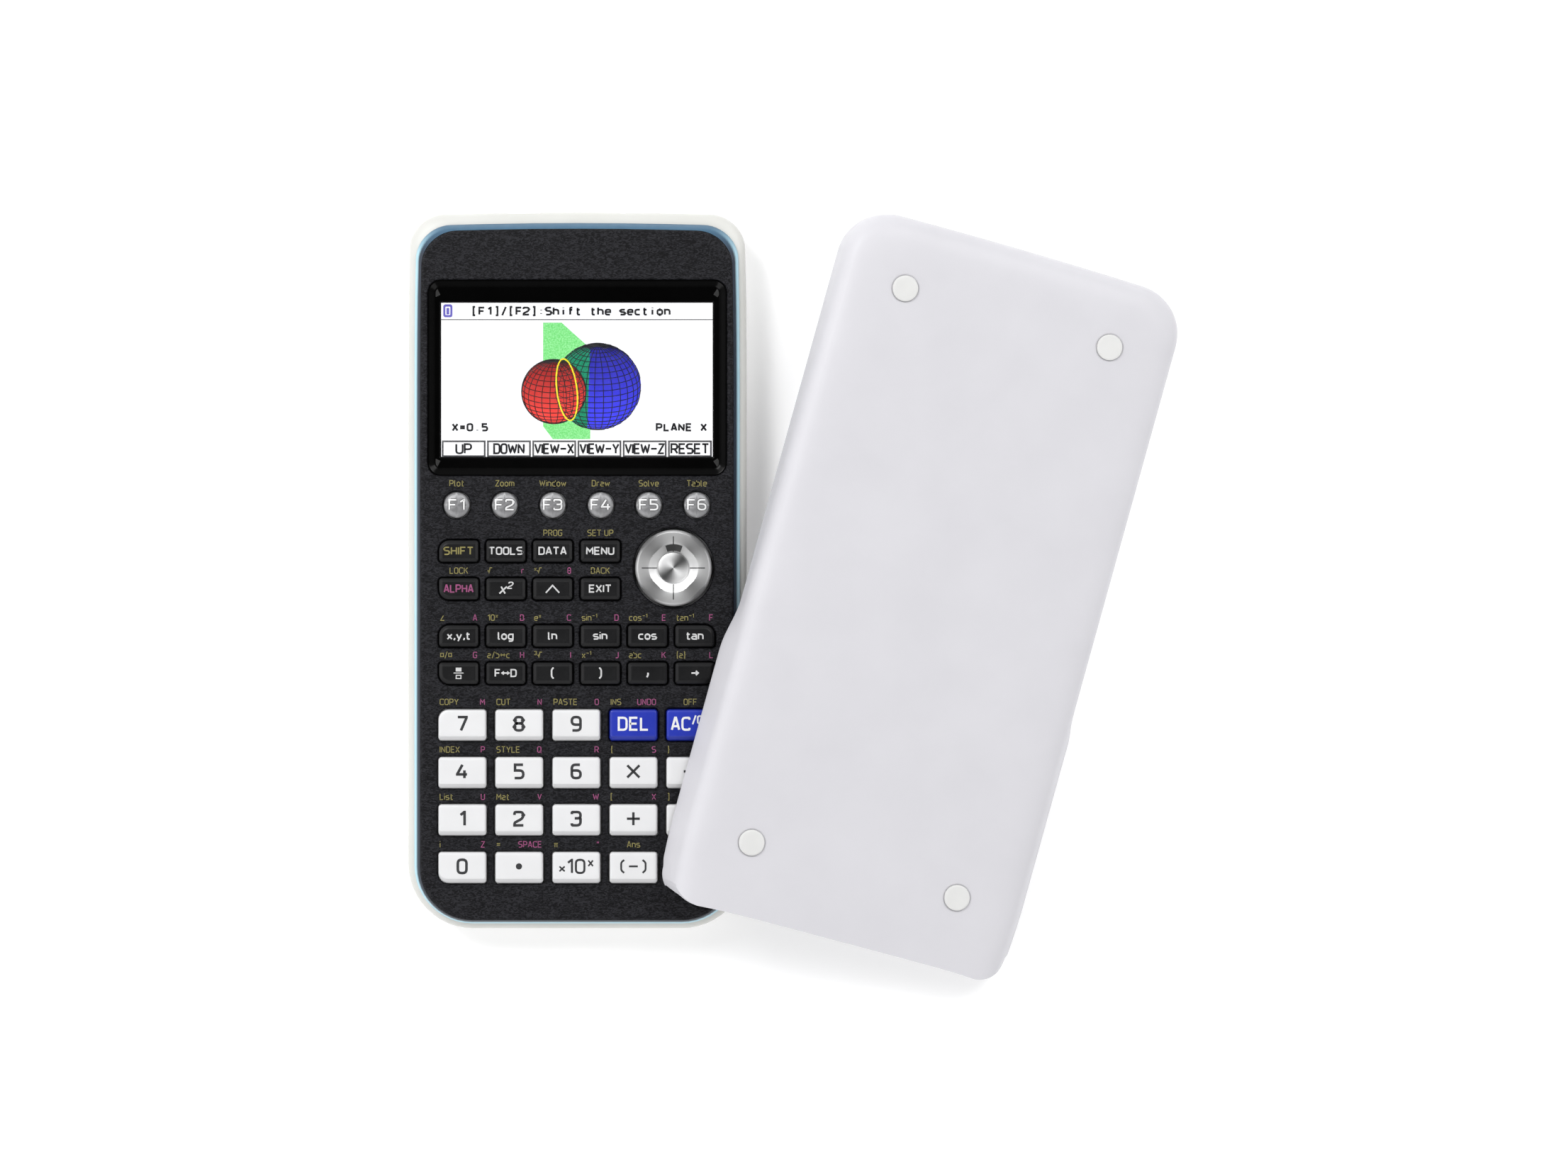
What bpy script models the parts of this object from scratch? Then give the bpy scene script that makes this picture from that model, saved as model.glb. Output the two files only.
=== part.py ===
"""Graphing calculator lying on its back, with its slide-on hard cover leaning on its right side.

Lengths below are in millimetres. The origin is the middle of the flat back, +X is to the right,
+Y is towards the screen and +Z points out of the face.
"""
import bpy
import bmesh
from math import asin, cos, pi, radians, sin
from mathutils import Matrix, Vector

MM = 0.001
COLLECTION = "graphing_calculator"

# Casing
CASE_WIDTH = 89.1
CASE_LENGTH = 188.5
WALL = 1.6
TOP_CORNER_RADIUS = 9.0
BOTTOM_CORNER_RADIUS = 17.0
SIDE_BOW = 0.7
TOP_CROWN = 0.8
CORNER_STEPS = 5
RIM_Z = 13.6
RIM_INSET = (2.2, 3.9, 1.8)
GROOVE_Z = (9.8, 11.5)
GROOVE_DEPTH = 0.8
GROOVE_Y = (-70.0, 78.0)

# Front panel
FACE_Z = 16.6
PLATE = 1.4
PANEL_INSET = (2.6, 4.3, 2.2)
PANEL_BASE_Z = 13.9
HOLE_GAP = 0.3

# Screen
SCREEN_X = (-38.4, 38.6)
SCREEN_Y = (25.6, 75.5)
LENS_Z = (14.8, 15.4)
LCD_Z = (13.0, 14.6)
LCD_VIEW_X = (-35.7, 35.65)
LCD_VIEW_Y = (29.85, 70.3)

# Keys: every key has a flange under the front panel, a neck in its hole and a bevelled cap
FLANGE_Z = (14.4, 14.9)
FLANGE_LIP = 0.5
CAP_BEVEL = 0.5
ROUND_KEY_RADIUS = 3.4
ROUND_KEY_Y = 17.1
ROUND_KEY_TOP = 17.8
SMALL_KEY = (10.4, 5.75)
SMALL_KEY_TOP = 18.0
LARGE_KEY = (12.6, 8.2)
LARGE_KEY_TOP = 18.3
SMALL_RADIUS = 1.2
LARGE_RADIUS = 1.6
END_RADIUS = 2.7
SMALL_COLUMNS = (-30.95, -18.6, -6.3, 6.2, 18.6, 31.0)
LARGE_COLUMNS = (-30.0, -15.1, -0.1, 14.9, 29.8)

# Rows from the top: y, then the key names from left to right
SMALL_ROWS = (
    (5.0, ("shift", "option", "variables", "menu")),
    (-4.9, ("alpha", "square", "power", "exit")),
    (-17.25, ("variable_x", "log", "ln", "sin", "cos", "tan")),
    (-27.05, ("fraction", "convert", "bracket_open", "bracket_close", "comma", "store")),
)
LARGE_ROWS = (
    (-40.6, ("7", "8", "9", "delete", "clear_on")),
    (-53.1, ("4", "5", "6", "multiply", "divide")),
    (-65.5, ("1", "2", "3", "plus", "minus")),
    (-78.0, ("0", "point", "exponent", "negative", "execute")),
)
# Keys with one rounder corner: which corner, as signs of x and y
ROUNDER_CORNER = {
    "shift": (-1, 1), "alpha": (-1, -1), "variable_x": (-1, 1), "fraction": (-1, -1),
    "tan": (1, 1), "store": (1, -1), "7": (-1, 1), "0": (-1, -1),
    "clear_on": (1, 1), "execute": (1, -1),
}

# Cursor pad
PAD_CENTRE = (25.4, 0.6)
PAD_RADIUS = 10.05
PAD_HOLE_RADIUS = 10.6
PAD_BASE_Z = 14.9
PAD_PROFILE = (
    (0.0, 18.15), (3.9, 17.9), (4.1, 17.7), (6.3, 18.5), (9.1, 18.6), (9.8, 18.1), (PAD_RADIUS, 17.4),
    (PAD_RADIUS, PAD_BASE_Z), (0.0, PAD_BASE_Z),
)

# Inside
BOARD_Z = (12.1, 12.8)
BOARD_HALF_WIDTH = 39.5
BOARD_Y = (-86.5, 84.0)
BOARD_RADIUS = 4.0
BOARD_LOW_CORNERS = {(-1, -1): 15.0, (1, -1): 15.0}
MAT_Z = (13.0, 13.3)
MAT_Y = (-85.5, 21.5)
DOME_HEIGHT = 0.2
DOME_RADIUS = 2.0
DOME_SIDES = 6
USB_X = -14.0
USB_SIZE = (7.7, 9.0, 3.2)
USB_MOUTH = ((-3.3, 3.3), (-1.1, 1.3))
USB_WINDOW = (8.6, 4.2)
JACK_X = 12.0
JACK_BODY_WIDTH = 6.4
JACK_BODY_DROP = 2.9
SOCKET_END_Y = 89.4
SOCKET_Z = 10.0
JACK_Z = 9.3
JACK_HOLE_RADIUS = 2.6
JACK_BORE_RADIUS = 1.3
BOSS_RADIUS = 2.6
SCREW_WELL_RADIUS = 1.9
SCREW_WELL_TOP = 3.0
BOSS_PLACES = ((-37.0, 82.0), (37.0, 82.0), (-37.0, 20.0), (37.0, 20.0), (-33.0, -80.0), (33.0, -80.0))

# Batteries: four AAA cells side by side
CELL_RADIUS = 5.25
CELL_LENGTH = 43.7
CELL_NUB = (1.9, 0.8)
CELL_PITCH = 10.4
CELL_Z = 6.65
BAY_X = 22.6
BAY_Y = (-75.4, -28.6)
TRAY_WALL = 1.4
TRAY_TOP = 11.8
DOOR_Z = (0.1, 1.1)
DOOR_GAP = 0.3
THUMB_SLOT = (14.0, 3.0, 0.3)
GRIP_LINE = (10.0, 0.8, 0.2)
GRIP_LINES = 3

# Slide-on cover, in its own frame: open side down, mouth towards -Y, rim at z = 0
COVER_HALF_WIDTH = 46.65
COVER_LENGTH = 188.2
COVER_DEPTH = 12.0
COVER_WALL = 1.8
COVER_CORNER_RADIUS = 12.5
COVER_CROWN = 0.7
COVER_FLARE = 2.0
FLARE_Z = (1.2, 7.0)
MOUTH_RADIUS = 7.0
MOUTH_CLEAR = 0.95
MOUTH_DRAFT = 0.2
MOUTH_OVERRUN = 3.0
MOUTH_DRAW_START_Y = -74.0
MOUTH_DRAW = 1.3
FLARE_START_Y = -14.0
FLARE_END_Y = -28.0
COVER_SIDE_STOPS = (-120.0, -94.0, -85.0, MOUTH_DRAW_START_Y, FLARE_END_Y, -21.0, FLARE_START_Y, 30.0)
RAIL_INNER_X = 44.1
RAIL_Z = (1.0, 2.5)
RAIL_Y = (-85.0, 74.0)
COVER_CENTRE = (91.0, -6.2)
COVER_HEADING = radians(-15.5)
WALL_FOOT_Z = 18.7
COVER_ROLL = asin(WALL_FOOT_Z / (2.0 * (COVER_HALF_WIDTH + COVER_FLARE) - COVER_WALL))
FOOT_PLACES = ((-28.5, 75.0), (28.5, 75.0), (-28.5, -75.0), (28.5, -75.0))
FOOT_OFFSET = (-0.5, 0.45)
FOOT_RADIUS = 3.4
FOOT_POCKET_RADIUS = 3.95
FOOT_POCKET_DEPTH = 0.8
FOOT_PROUD = 0.6


def make_material(name, colour, roughness, metallic=0.0):
    """Plain Principled material."""
    material = bpy.data.materials.new(name)
    material.use_nodes = True
    shader = material.node_tree.nodes["Principled BSDF"]
    shader.inputs["Base Color"].default_value = (*colour, 1.0)
    shader.inputs["Roughness"].default_value = roughness
    shader.inputs["Metallic"].default_value = metallic
    return material


def make_collection(name):
    collection = bpy.data.collections.new(name)
    bpy.context.scene.collection.children.link(collection)
    return collection


def mesh_from(bm, name):
    """Turn a bmesh drawn in millimetres into a smooth-shaded mesh in metres."""
    bmesh.ops.scale(bm, vec=(MM, MM, MM), verts=bm.verts)
    bmesh.ops.recalc_face_normals(bm, faces=bm.faces)
    mesh = bpy.data.meshes.new(name)
    bm.to_mesh(mesh)
    bm.free()
    mesh.shade_smooth()
    mesh.set_sharp_from_angle(angle=radians(35))
    return mesh


def add_part(name, mesh, material, location=(0.0, 0.0, 0.0), parent=None):
    """Show a mesh as one named sub-part; its location is in millimetres."""
    part = bpy.data.objects.new(name, mesh)
    if not mesh.materials:
        mesh.materials.append(material)
    part.location = Vector(location) * MM
    part.parent = parent
    parts.objects.link(part)
    return part


def add_cutter(name, bm, parent=None):
    """Hidden helper solid for a Boolean."""
    cutter = bpy.data.objects.new(name, mesh_from(bm, name))
    cutter.hide_render = True
    cutter.display_type = "WIRE"
    cutter.parent = parent
    cutters.objects.link(cutter)
    return cutter


def add_boolean(part, operation, other):
    modifier = part.modifiers.new(operation.lower() + "_" + other.name, "BOOLEAN")
    modifier.operation = operation
    modifier.solver = "EXACT"
    modifier.object = other


def add_solidify(part, thickness):
    modifier = part.modifiers.new("wall", "SOLIDIFY")
    modifier.thickness = thickness * MM
    modifier.offset = -1.0
    modifier.use_even_offset = True


def box(bm, x, y, z):
    """Box between pairs of limits; returns its vertices."""
    centre = ((x[0] + x[1]) / 2, (y[0] + y[1]) / 2, (z[0] + z[1]) / 2)
    size = (x[1] - x[0], y[1] - y[0], z[1] - z[0])
    matrix = Matrix.Translation(centre) @ Matrix.Diagonal((*size, 1.0))
    return bmesh.ops.create_cube(bm, size=1.0, matrix=matrix)["verts"]


def cylinder(bm, centre, radius, z, segments, top_radius=None):
    """Upright cylinder or frustum between two heights."""
    matrix = Matrix.Translation((centre[0], centre[1], (z[0] + z[1]) / 2))
    bmesh.ops.create_cone(
        bm, cap_ends=True, segments=segments, radius1=radius, radius2=top_radius or radius,
        depth=z[1] - z[0], matrix=matrix,
    )


def upright_edges(verts):
    """Vertical edges among the given vertices."""
    edges = {edge for vert in verts for edge in vert.link_edges}
    return [e for e in edges if abs(e.verts[0].co.z - e.verts[1].co.z) > 1e-6]


def round_corners(bm, verts, radius, special=None, segments=2):
    """Round the upright edges of a box; special gives some corners, by their signs, another radius."""
    middle = sum((v.co for v in verts), Vector()) / len(verts)
    groups = {}
    for edge in upright_edges(verts):
        corner = edge.verts[0].co - middle
        sign = (1 if corner.x > 0 else -1, 1 if corner.y > 0 else -1)
        groups.setdefault((special or {}).get(sign, radius), []).append(edge)
    for corner_radius, edges in groups.items():
        bmesh.ops.bevel(
            bm, geom=edges, offset=corner_radius, segments=segments, profile=0.5, affect="EDGES")


def casing_outline(insets):
    """Outline of the casing pulled in at its sides, top and bottom: bowed sides, crowned top."""
    side, top, bottom = insets
    half = CASE_WIDTH / 2 - side
    high = CASE_LENGTH / 2 - top
    low = -CASE_LENGTH / 2 + bottom
    r_top = TOP_CORNER_RADIUS
    r_bottom = BOTTOM_CORNER_RADIUS - side
    corners = (
        (half - r_bottom, low + r_bottom, r_bottom, -pi / 2),
        (half - r_top, high - r_top, r_top, 0.0),
        (-half + r_top, high - r_top, r_top, pi / 2),
        (-half + r_bottom, low + r_bottom, r_bottom, pi),
    )
    points = []
    for index, (x, y, radius, start) in enumerate(corners):
        for step in range(CORNER_STEPS + 1):
            angle = start + step * pi / 2 / CORNER_STEPS
            points.append((x + radius * cos(angle), y + radius * sin(angle)))
        if index == 0:
            points += [(half, -20.0), (half, 40.0), (half, 66.0)]
        elif index == 1:
            points.append((0.0, high))
        elif index == 2:
            points += [(-half, 66.0), (-half, 40.0), (-half, -20.0)]
    return [bow(x, y, half, high) for x, y in points]


def bow(x, y, half, high):
    """Pull the upper sides and the ends of the top edge in a little."""
    towards_top = max(0.0, y / high)
    x_bowed = x - (x / half) * SIDE_BOW * towards_top ** 6
    y_bowed = y - TOP_CROWN * towards_top ** 6 * (x / half) ** 2
    return (x_bowed, y_bowed)


def loft(bm, loops, cap_last=False):
    """Skin closed loops of equal count; cap the first one, and the last one if asked."""
    rings = [[bm.verts.new(point) for point in loop] for loop in loops]
    count = len(rings[0])
    bm.faces.new(rings[0])
    if cap_last:
        bm.faces.new(rings[-1])
    for lower, upper in zip(rings, rings[1:]):
        for i in range(count):
            j = (i + 1) % count
            bm.faces.new((lower[i], lower[j], upper[j], upper[i]))


def casing_loop(z, insets):
    return [(x, y, z) for x, y in casing_outline(insets)]


# ------------------------------------------------------------------ keys

def key_mesh(name, size, radius, top, rounder=None):
    """Keycap on a thin flange; drawn about the middle of its footprint."""
    bm = bmesh.new()
    half_x = size[0] / 2 + FLANGE_LIP
    half_y = size[1] / 2 + FLANGE_LIP
    verts = box(bm, (-half_x, half_x), (-half_y, half_y), FLANGE_Z)
    special = {rounder: END_RADIUS + FLANGE_LIP} if rounder else None
    round_corners(bm, verts, radius + FLANGE_LIP, special)
    raise_cap(bm, top)
    return mesh_from(bm, name)


def round_key_mesh(name):
    bm = bmesh.new()
    cylinder(bm, (0.0, 0.0), ROUND_KEY_RADIUS + FLANGE_LIP, FLANGE_Z, 16)
    raise_cap(bm, ROUND_KEY_TOP)
    return mesh_from(bm, name)


def raise_cap(bm, top):
    """Inset the top of a flange, pull the cap up out of it and bevel the cap's edge."""
    bm.faces.ensure_lookup_table()
    face = max(bm.faces, key=lambda f: f.calc_center_median().z)
    bmesh.ops.inset_region(bm, faces=[face], thickness=FLANGE_LIP, use_even_offset=True)
    raised = bmesh.ops.extrude_face_region(bm, geom=[face])["geom"]
    verts = [g for g in raised if isinstance(g, bmesh.types.BMVert)]
    bmesh.ops.translate(bm, verts=verts, vec=(0.0, 0.0, top - FLANGE_Z[1]))
    bmesh.ops.delete(bm, geom=[face], context="FACES_ONLY")
    rim = [e for e in bm.edges if all(abs(v.co.z - top) < 1e-6 for v in e.verts)]
    bmesh.ops.bevel(bm, geom=rim, offset=CAP_BEVEL, segments=1, profile=0.5, affect="EDGES")


def key_layout():
    """Yield name, kind and centre of every key."""
    for index in range(6):
        side = (index - 2.5) * 12.6
        yield "key_f%d" % (index + 1), "round", (side, ROUND_KEY_Y)
    for y, names in SMALL_ROWS:
        for x, name in zip(SMALL_COLUMNS, names):
            yield "key_" + name, "small", (x, y)
    for y, names in LARGE_ROWS:
        for x, name in zip(LARGE_COLUMNS, names):
            yield "key_" + name, "large", (x, y)


def build_keys():
    meshes = {}
    for name, kind, centre in key_layout():
        rounder = ROUNDER_CORNER.get(name[len("key_"):])
        shape = (kind, rounder)
        if kind == "large" and name in ("key_delete", "key_clear_on"):
            shape = (kind, rounder, "blue")
        if shape not in meshes:
            meshes[shape] = make_key_shape(name, kind, rounder)
        finish = {"round": silver, "small": black_key, "large": white_key}[kind]
        if "blue" in shape:
            finish = blue_key
        add_part(name, meshes[shape], finish, (*centre, 0.0))


def make_key_shape(name, kind, rounder):
    if kind == "round":
        return round_key_mesh(name)
    if kind == "small":
        return key_mesh(name, SMALL_KEY, SMALL_RADIUS, SMALL_KEY_TOP, rounder)
    return key_mesh(name, LARGE_KEY, LARGE_RADIUS, LARGE_KEY_TOP, rounder)


def key_openings(bm):
    """Prisms that open the front panel round every key and round the cursor pad."""
    depth = (FLANGE_Z[0] - 1.0, FACE_Z + 1.0)
    for name, kind, (x, y) in key_layout():
        if kind == "round":
            cylinder(bm, (x, y), ROUND_KEY_RADIUS + HOLE_GAP, depth, 16)
            continue
        width, height = SMALL_KEY if kind == "small" else LARGE_KEY
        radius = SMALL_RADIUS if kind == "small" else LARGE_RADIUS
        half_x = width / 2 + HOLE_GAP
        half_y = height / 2 + HOLE_GAP
        verts = box(bm, (x - half_x, x + half_x), (y - half_y, y + half_y), depth)
        rounder = ROUNDER_CORNER.get(name[len("key_"):])
        special = {rounder: END_RADIUS + HOLE_GAP} if rounder else None
        round_corners(bm, verts, radius + HOLE_GAP, special)
    cylinder(bm, PAD_CENTRE, PAD_HOLE_RADIUS, depth, 32)


def build_cursor_pad():
    """Turned rocker pad; its origin is on the rocking axis, level with its base."""
    bm = bmesh.new()
    profile = [bm.verts.new((radius, 0.0, z - PAD_BASE_Z)) for radius, z in PAD_PROFILE]
    for upper, lower in zip(profile, profile[1:]):
        bm.edges.new((upper, lower))
    bmesh.ops.scale(bm, vec=(MM, MM, MM), verts=bm.verts)
    mesh = bpy.data.meshes.new("cursor_pad")
    bm.to_mesh(mesh)
    bm.free()
    pad = add_part("cursor_pad", mesh, silver, (*PAD_CENTRE, PAD_BASE_Z))
    screw = pad.modifiers.new("turned", "SCREW")
    screw.axis = "Z"
    screw.steps = 28
    screw.render_steps = 28
    screw.use_merge_vertices = True
    screw.merge_threshold = 0.00001
    screw.use_smooth_shade = True


# ------------------------------------------------------------------ casing

def build_rear_case():
    """White rear shell with battery tray, screw bosses, sockets' windows and cover grooves."""
    def even(inset):
        return (inset, inset, inset)

    bm = bmesh.new()
    shoulder = tuple(i * 0.3 for i in RIM_INSET)
    loft(bm, [
        casing_loop(0.0, even(4.2)), casing_loop(0.6, even(2.0)), casing_loop(2.0, even(0.6)),
        casing_loop(4.2, even(0.0)), casing_loop(11.7, even(0.0)), casing_loop(12.8, shoulder),
        casing_loop(RIM_Z, RIM_INSET),
    ])
    case = add_part("rear_case", mesh_from(bm, "rear_case"), white_case)
    add_solidify(case, WALL)

    bm = bmesh.new()
    outer_y = (BAY_Y[0] - TRAY_WALL, BAY_Y[1] + TRAY_WALL)
    outer_x = BAY_X + TRAY_WALL
    box(bm, (-outer_x, outer_x), outer_y, (WALL / 2, TRAY_TOP))
    add_boolean(case, "UNION", add_cutter("battery_tray_block", bm))

    bm = bmesh.new()
    for place in BOSS_PLACES:
        cylinder(bm, place, BOSS_RADIUS, (WALL / 2, TRAY_TOP), 12)
    add_boolean(case, "UNION", add_cutter("screw_bosses", bm))

    bm = bmesh.new()
    box(bm, (-BAY_X, BAY_X), BAY_Y, (-1.0, TRAY_TOP + 1.0))
    for place in BOSS_PLACES:
        cylinder(bm, place, SCREW_WELL_RADIUS, (-1.0, SCREW_WELL_TOP), 12)
    add_boolean(case, "DIFFERENCE", add_cutter("battery_bay_and_screw_wells", bm))

    bm = bmesh.new()
    half_x, half_z = USB_WINDOW[0] / 2, USB_WINDOW[1] / 2
    box(bm, (USB_X - half_x, USB_X + half_x), (88.0, 98.0), (SOCKET_Z - half_z, SOCKET_Z + half_z))
    across = Matrix.Translation((JACK_X, 93.0, JACK_Z)) @ Matrix.Rotation(pi / 2, 4, "X")
    bmesh.ops.create_cone(
        bm, cap_ends=True, segments=20, radius1=JACK_HOLE_RADIUS, radius2=JACK_HOLE_RADIUS, depth=10.0,
        matrix=across)
    edge = CASE_WIDTH / 2
    box(bm, (edge - GROOVE_DEPTH, edge + 1.0), GROOVE_Y, GROOVE_Z)
    box(bm, (-edge - 1.0, -edge + GROOVE_DEPTH), GROOVE_Y, GROOVE_Z)
    add_boolean(case, "DIFFERENCE", add_cutter("socket_windows_and_grooves", bm))


def build_front_panel():
    """Black face panel: plate and skirt, opened for the keys, the cursor pad and the screen."""
    def insets(extra):
        return tuple(i + extra for i in PANEL_INSET)

    bm = bmesh.new()
    loft(bm, [
        casing_loop(FACE_Z, insets(0.7)), casing_loop(FACE_Z - 0.3, insets(0.15)),
        casing_loop(FACE_Z - 0.9, insets(0.0)), casing_loop(PANEL_BASE_Z, insets(0.0)),
    ], True)
    panel = add_part("front_panel", mesh_from(bm, "front_panel"), black_face)

    bm = bmesh.new()
    inner = insets(PLATE)
    loft(bm, [casing_loop(FACE_Z - PLATE, inner), casing_loop(PANEL_BASE_Z - 1.0, inner)], True)
    add_boolean(panel, "DIFFERENCE", add_cutter("panel_hollow", bm))

    bm = bmesh.new()
    key_openings(bm)
    screen_window(bm)
    add_boolean(panel, "DIFFERENCE", add_cutter("face_openings", bm))


def screen_window(bm):
    """Frustum for the screen: its walls slope down to the lens."""
    verts = box(bm, SCREEN_X, SCREEN_Y, (FACE_Z - 2.6, FACE_Z + 1.0))
    for vert in verts:
        if vert.co.z < FACE_Z:
            vert.co.x += 0.5 if vert.co.x < 0 else -0.5
            vert.co.y += 0.5 if vert.co.y < 50 else -0.5
    round_corners(bm, verts, 1.5)


def build_screen():
    """Clear lens in the face's window and the display module under it."""
    gap = 0.9
    bm = bmesh.new()
    verts = box(bm, (SCREEN_X[0] + gap, SCREEN_X[1] - gap), (SCREEN_Y[0] + gap, SCREEN_Y[1] - gap), LENS_Z)
    round_corners(bm, verts, 1.2)
    add_part("display_window", mesh_from(bm, "display_window"), clear_window)

    bm = bmesh.new()
    box(bm, (SCREEN_X[0] - 0.6, SCREEN_X[1] + 0.6), (SCREEN_Y[0] - 0.8, SCREEN_Y[1] + 2.0), LCD_Z)
    module = add_part("lcd_module", mesh_from(bm, "lcd_module"), display)
    bm = bmesh.new()
    box(bm, LCD_VIEW_X, LCD_VIEW_Y, (LCD_Z[1] - 0.2, LCD_Z[1] + 1.0))
    add_boolean(module, "DIFFERENCE", add_cutter("picture_recess", bm))


# ------------------------------------------------------------------ inside

def build_main_board():
    """Circuit board with the data socket and the link jack soldered to its top edge."""
    bm = bmesh.new()
    verts = box(bm, (-BOARD_HALF_WIDTH, BOARD_HALF_WIDTH), BOARD_Y, BOARD_Z)
    round_corners(bm, verts, BOARD_RADIUS, BOARD_LOW_CORNERS, 3)
    board = add_part("main_board", mesh_from(bm, "main_board"), board_green)

    bm = bmesh.new()
    back = SOCKET_END_Y - USB_SIZE[1]
    top = BOARD_Z[0] + 0.2
    box(bm, (USB_X - USB_SIZE[0] / 2, USB_X + USB_SIZE[0] / 2), (back, SOCKET_END_Y),
        (SOCKET_Z - USB_SIZE[2] / 2, top))
    half = JACK_BODY_WIDTH / 2
    box(bm, (JACK_X - half, JACK_X + half), (back, SOCKET_END_Y - 2.5), (SOCKET_Z - JACK_BODY_DROP, top))
    add_boolean(board, "UNION", add_cutter("socket_bodies", bm))

    bm = bmesh.new()
    box(bm, [USB_X + x for x in USB_MOUTH[0]], (back + 2.0, SOCKET_END_Y + 1.0),
        [SOCKET_Z + z for z in USB_MOUTH[1]])
    along = Matrix.Translation((JACK_X, SOCKET_END_Y - 4.0, JACK_Z)) @ Matrix.Rotation(pi / 2, 4, "X")
    bmesh.ops.create_cone(
        bm, cap_ends=True, segments=14, radius1=JACK_BORE_RADIUS, radius2=JACK_BORE_RADIUS, depth=6.0,
        matrix=along)
    add_boolean(board, "DIFFERENCE", add_cutter("socket_mouths", bm))


def build_key_mat():
    """Silicone mat with a low dome under every key, drawn at its pressed height."""
    bm = bmesh.new()
    verts = box(bm, (-BOARD_HALF_WIDTH, BOARD_HALF_WIDTH), MAT_Y, MAT_Z)
    round_corners(bm, verts, BOARD_RADIUS, BOARD_LOW_CORNERS, 3)
    mat = add_part("key_mat", mesh_from(bm, "key_mat"), mat_grey)

    bm = bmesh.new()
    span = (MAT_Z[0] + 0.1, MAT_Z[1] + DOME_HEIGHT)
    for _, _, centre in key_layout():
        cylinder(bm, centre, DOME_RADIUS, span, DOME_SIDES, DOME_RADIUS * 0.7)
    for dx, dy in ((0, 7), (0, -7), (7, 0), (-7, 0)):
        place = (PAD_CENTRE[0] + dx, PAD_CENTRE[1] + dy)
        cylinder(bm, place, DOME_RADIUS, span, DOME_SIDES, DOME_RADIUS * 0.7)
    add_boolean(mat, "UNION", add_cutter("domes", bm))


def build_batteries():
    """Four cells standing side by side in the bay, each turned the other way from the last."""
    cells = None
    middle_y = (BAY_Y[0] + BAY_Y[1]) / 2
    for index in range(4):
        bm = bmesh.new()
        bmesh.ops.create_cone(
            bm, cap_ends=True, segments=16, radius1=CELL_RADIUS, radius2=CELL_RADIUS, depth=CELL_LENGTH)
        nub_z = CELL_LENGTH / 2 + CELL_NUB[1] / 2
        end = max(bm.faces, key=lambda f: f.calc_center_median().z)
        bmesh.ops.inset_region(bm, faces=[end], thickness=CELL_RADIUS - CELL_NUB[0])
        raised = bmesh.ops.extrude_face_region(bm, geom=[end])["geom"]
        verts = [g for g in raised if isinstance(g, bmesh.types.BMVert)]
        bmesh.ops.translate(bm, verts=verts, vec=(0.0, 0.0, nub_z - CELL_LENGTH / 2 + CELL_NUB[1] / 2))
        bmesh.ops.delete(bm, geom=[end], context="FACES_ONLY")
        way = -1 if index % 2 else 1
        place = Matrix.Translation(((index - 1.5) * CELL_PITCH, middle_y, CELL_Z))
        bmesh.ops.transform(bm, matrix=place @ Matrix.Rotation(way * pi / 2, 4, "X"), verts=bm.verts)
        if cells is None:
            cells = add_part("battery_cells", mesh_from(bm, "battery_cells"), cell_wrap)
        else:
            add_boolean(cells, "UNION", add_cutter("cell_%d" % (index + 1), bm))


def build_battery_cover():
    """Door of the battery bay; its origin is on the hinge edge at the lower end."""
    bm = bmesh.new()
    half = BAY_X - DOOR_GAP
    length = BAY_Y[1] - BAY_Y[0] - 2 * DOOR_GAP
    thick = DOOR_Z[1] - DOOR_Z[0]
    box(bm, (-half, half), (0.0, length), (0.0, thick))
    hinge = (0.0, BAY_Y[0] + DOOR_GAP, DOOR_Z[0])
    door = add_part("battery_cover", mesh_from(bm, "battery_cover"), white_case, hinge)
    bm = bmesh.new()
    place = Matrix.Translation(Vector(hinge))
    top = length - 2.0
    width, height, depth = THUMB_SLOT
    box(bm, (-width / 2, width / 2), (top - height, top), (-0.5, DOOR_Z[0] + depth))
    width, height, depth = GRIP_LINE
    for step in range(GRIP_LINES):
        low = length - 9.0 - 2.0 * step
        box(bm, (-width / 2, width / 2), (low, low + height), (-0.5, DOOR_Z[0] + depth))
    bmesh.ops.transform(bm, matrix=place, verts=bm.verts)
    add_boolean(door, "DIFFERENCE", add_cutter("door_grip", bm))


# ------------------------------------------------------------------ cover

def cover_frame():
    """Empty at the middle of the cover's rim plane, turned and rolled as the cover lies."""
    frame = bpy.data.objects.new("cover_frame", None)
    half_span = COVER_HALF_WIDTH + COVER_FLARE
    frame.location = Vector((*COVER_CENTRE, half_span * sin(COVER_ROLL))) * MM
    turn = Matrix.Rotation(COVER_HEADING, 3, "Z") @ Matrix.Rotation(COVER_ROLL, 3, "Y")
    frame.rotation_euler = turn.to_euler()
    parts.objects.link(frame)
    return frame


def flare_at(y, z):
    """How far the rim stands out beside the thumb grips near the mouth."""
    along = min(1.0, max(0.0, (FLARE_START_Y - y) / (FLARE_START_Y - FLARE_END_Y)))
    eased = along * along * (3.0 - 2.0 * along)
    fade = (FLARE_Z[1] - z) / (FLARE_Z[1] - FLARE_Z[0])
    return COVER_FLARE * eased * min(1.0, max(0.0, fade))


def draw_in(y):
    """How far the walls close in near the mouth."""
    reach = COVER_LENGTH / 2 + MOUTH_DRAW_START_Y
    return MOUTH_DRAW * max(0.0, (MOUTH_DRAW_START_Y - y) / reach) ** 1.5


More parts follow.
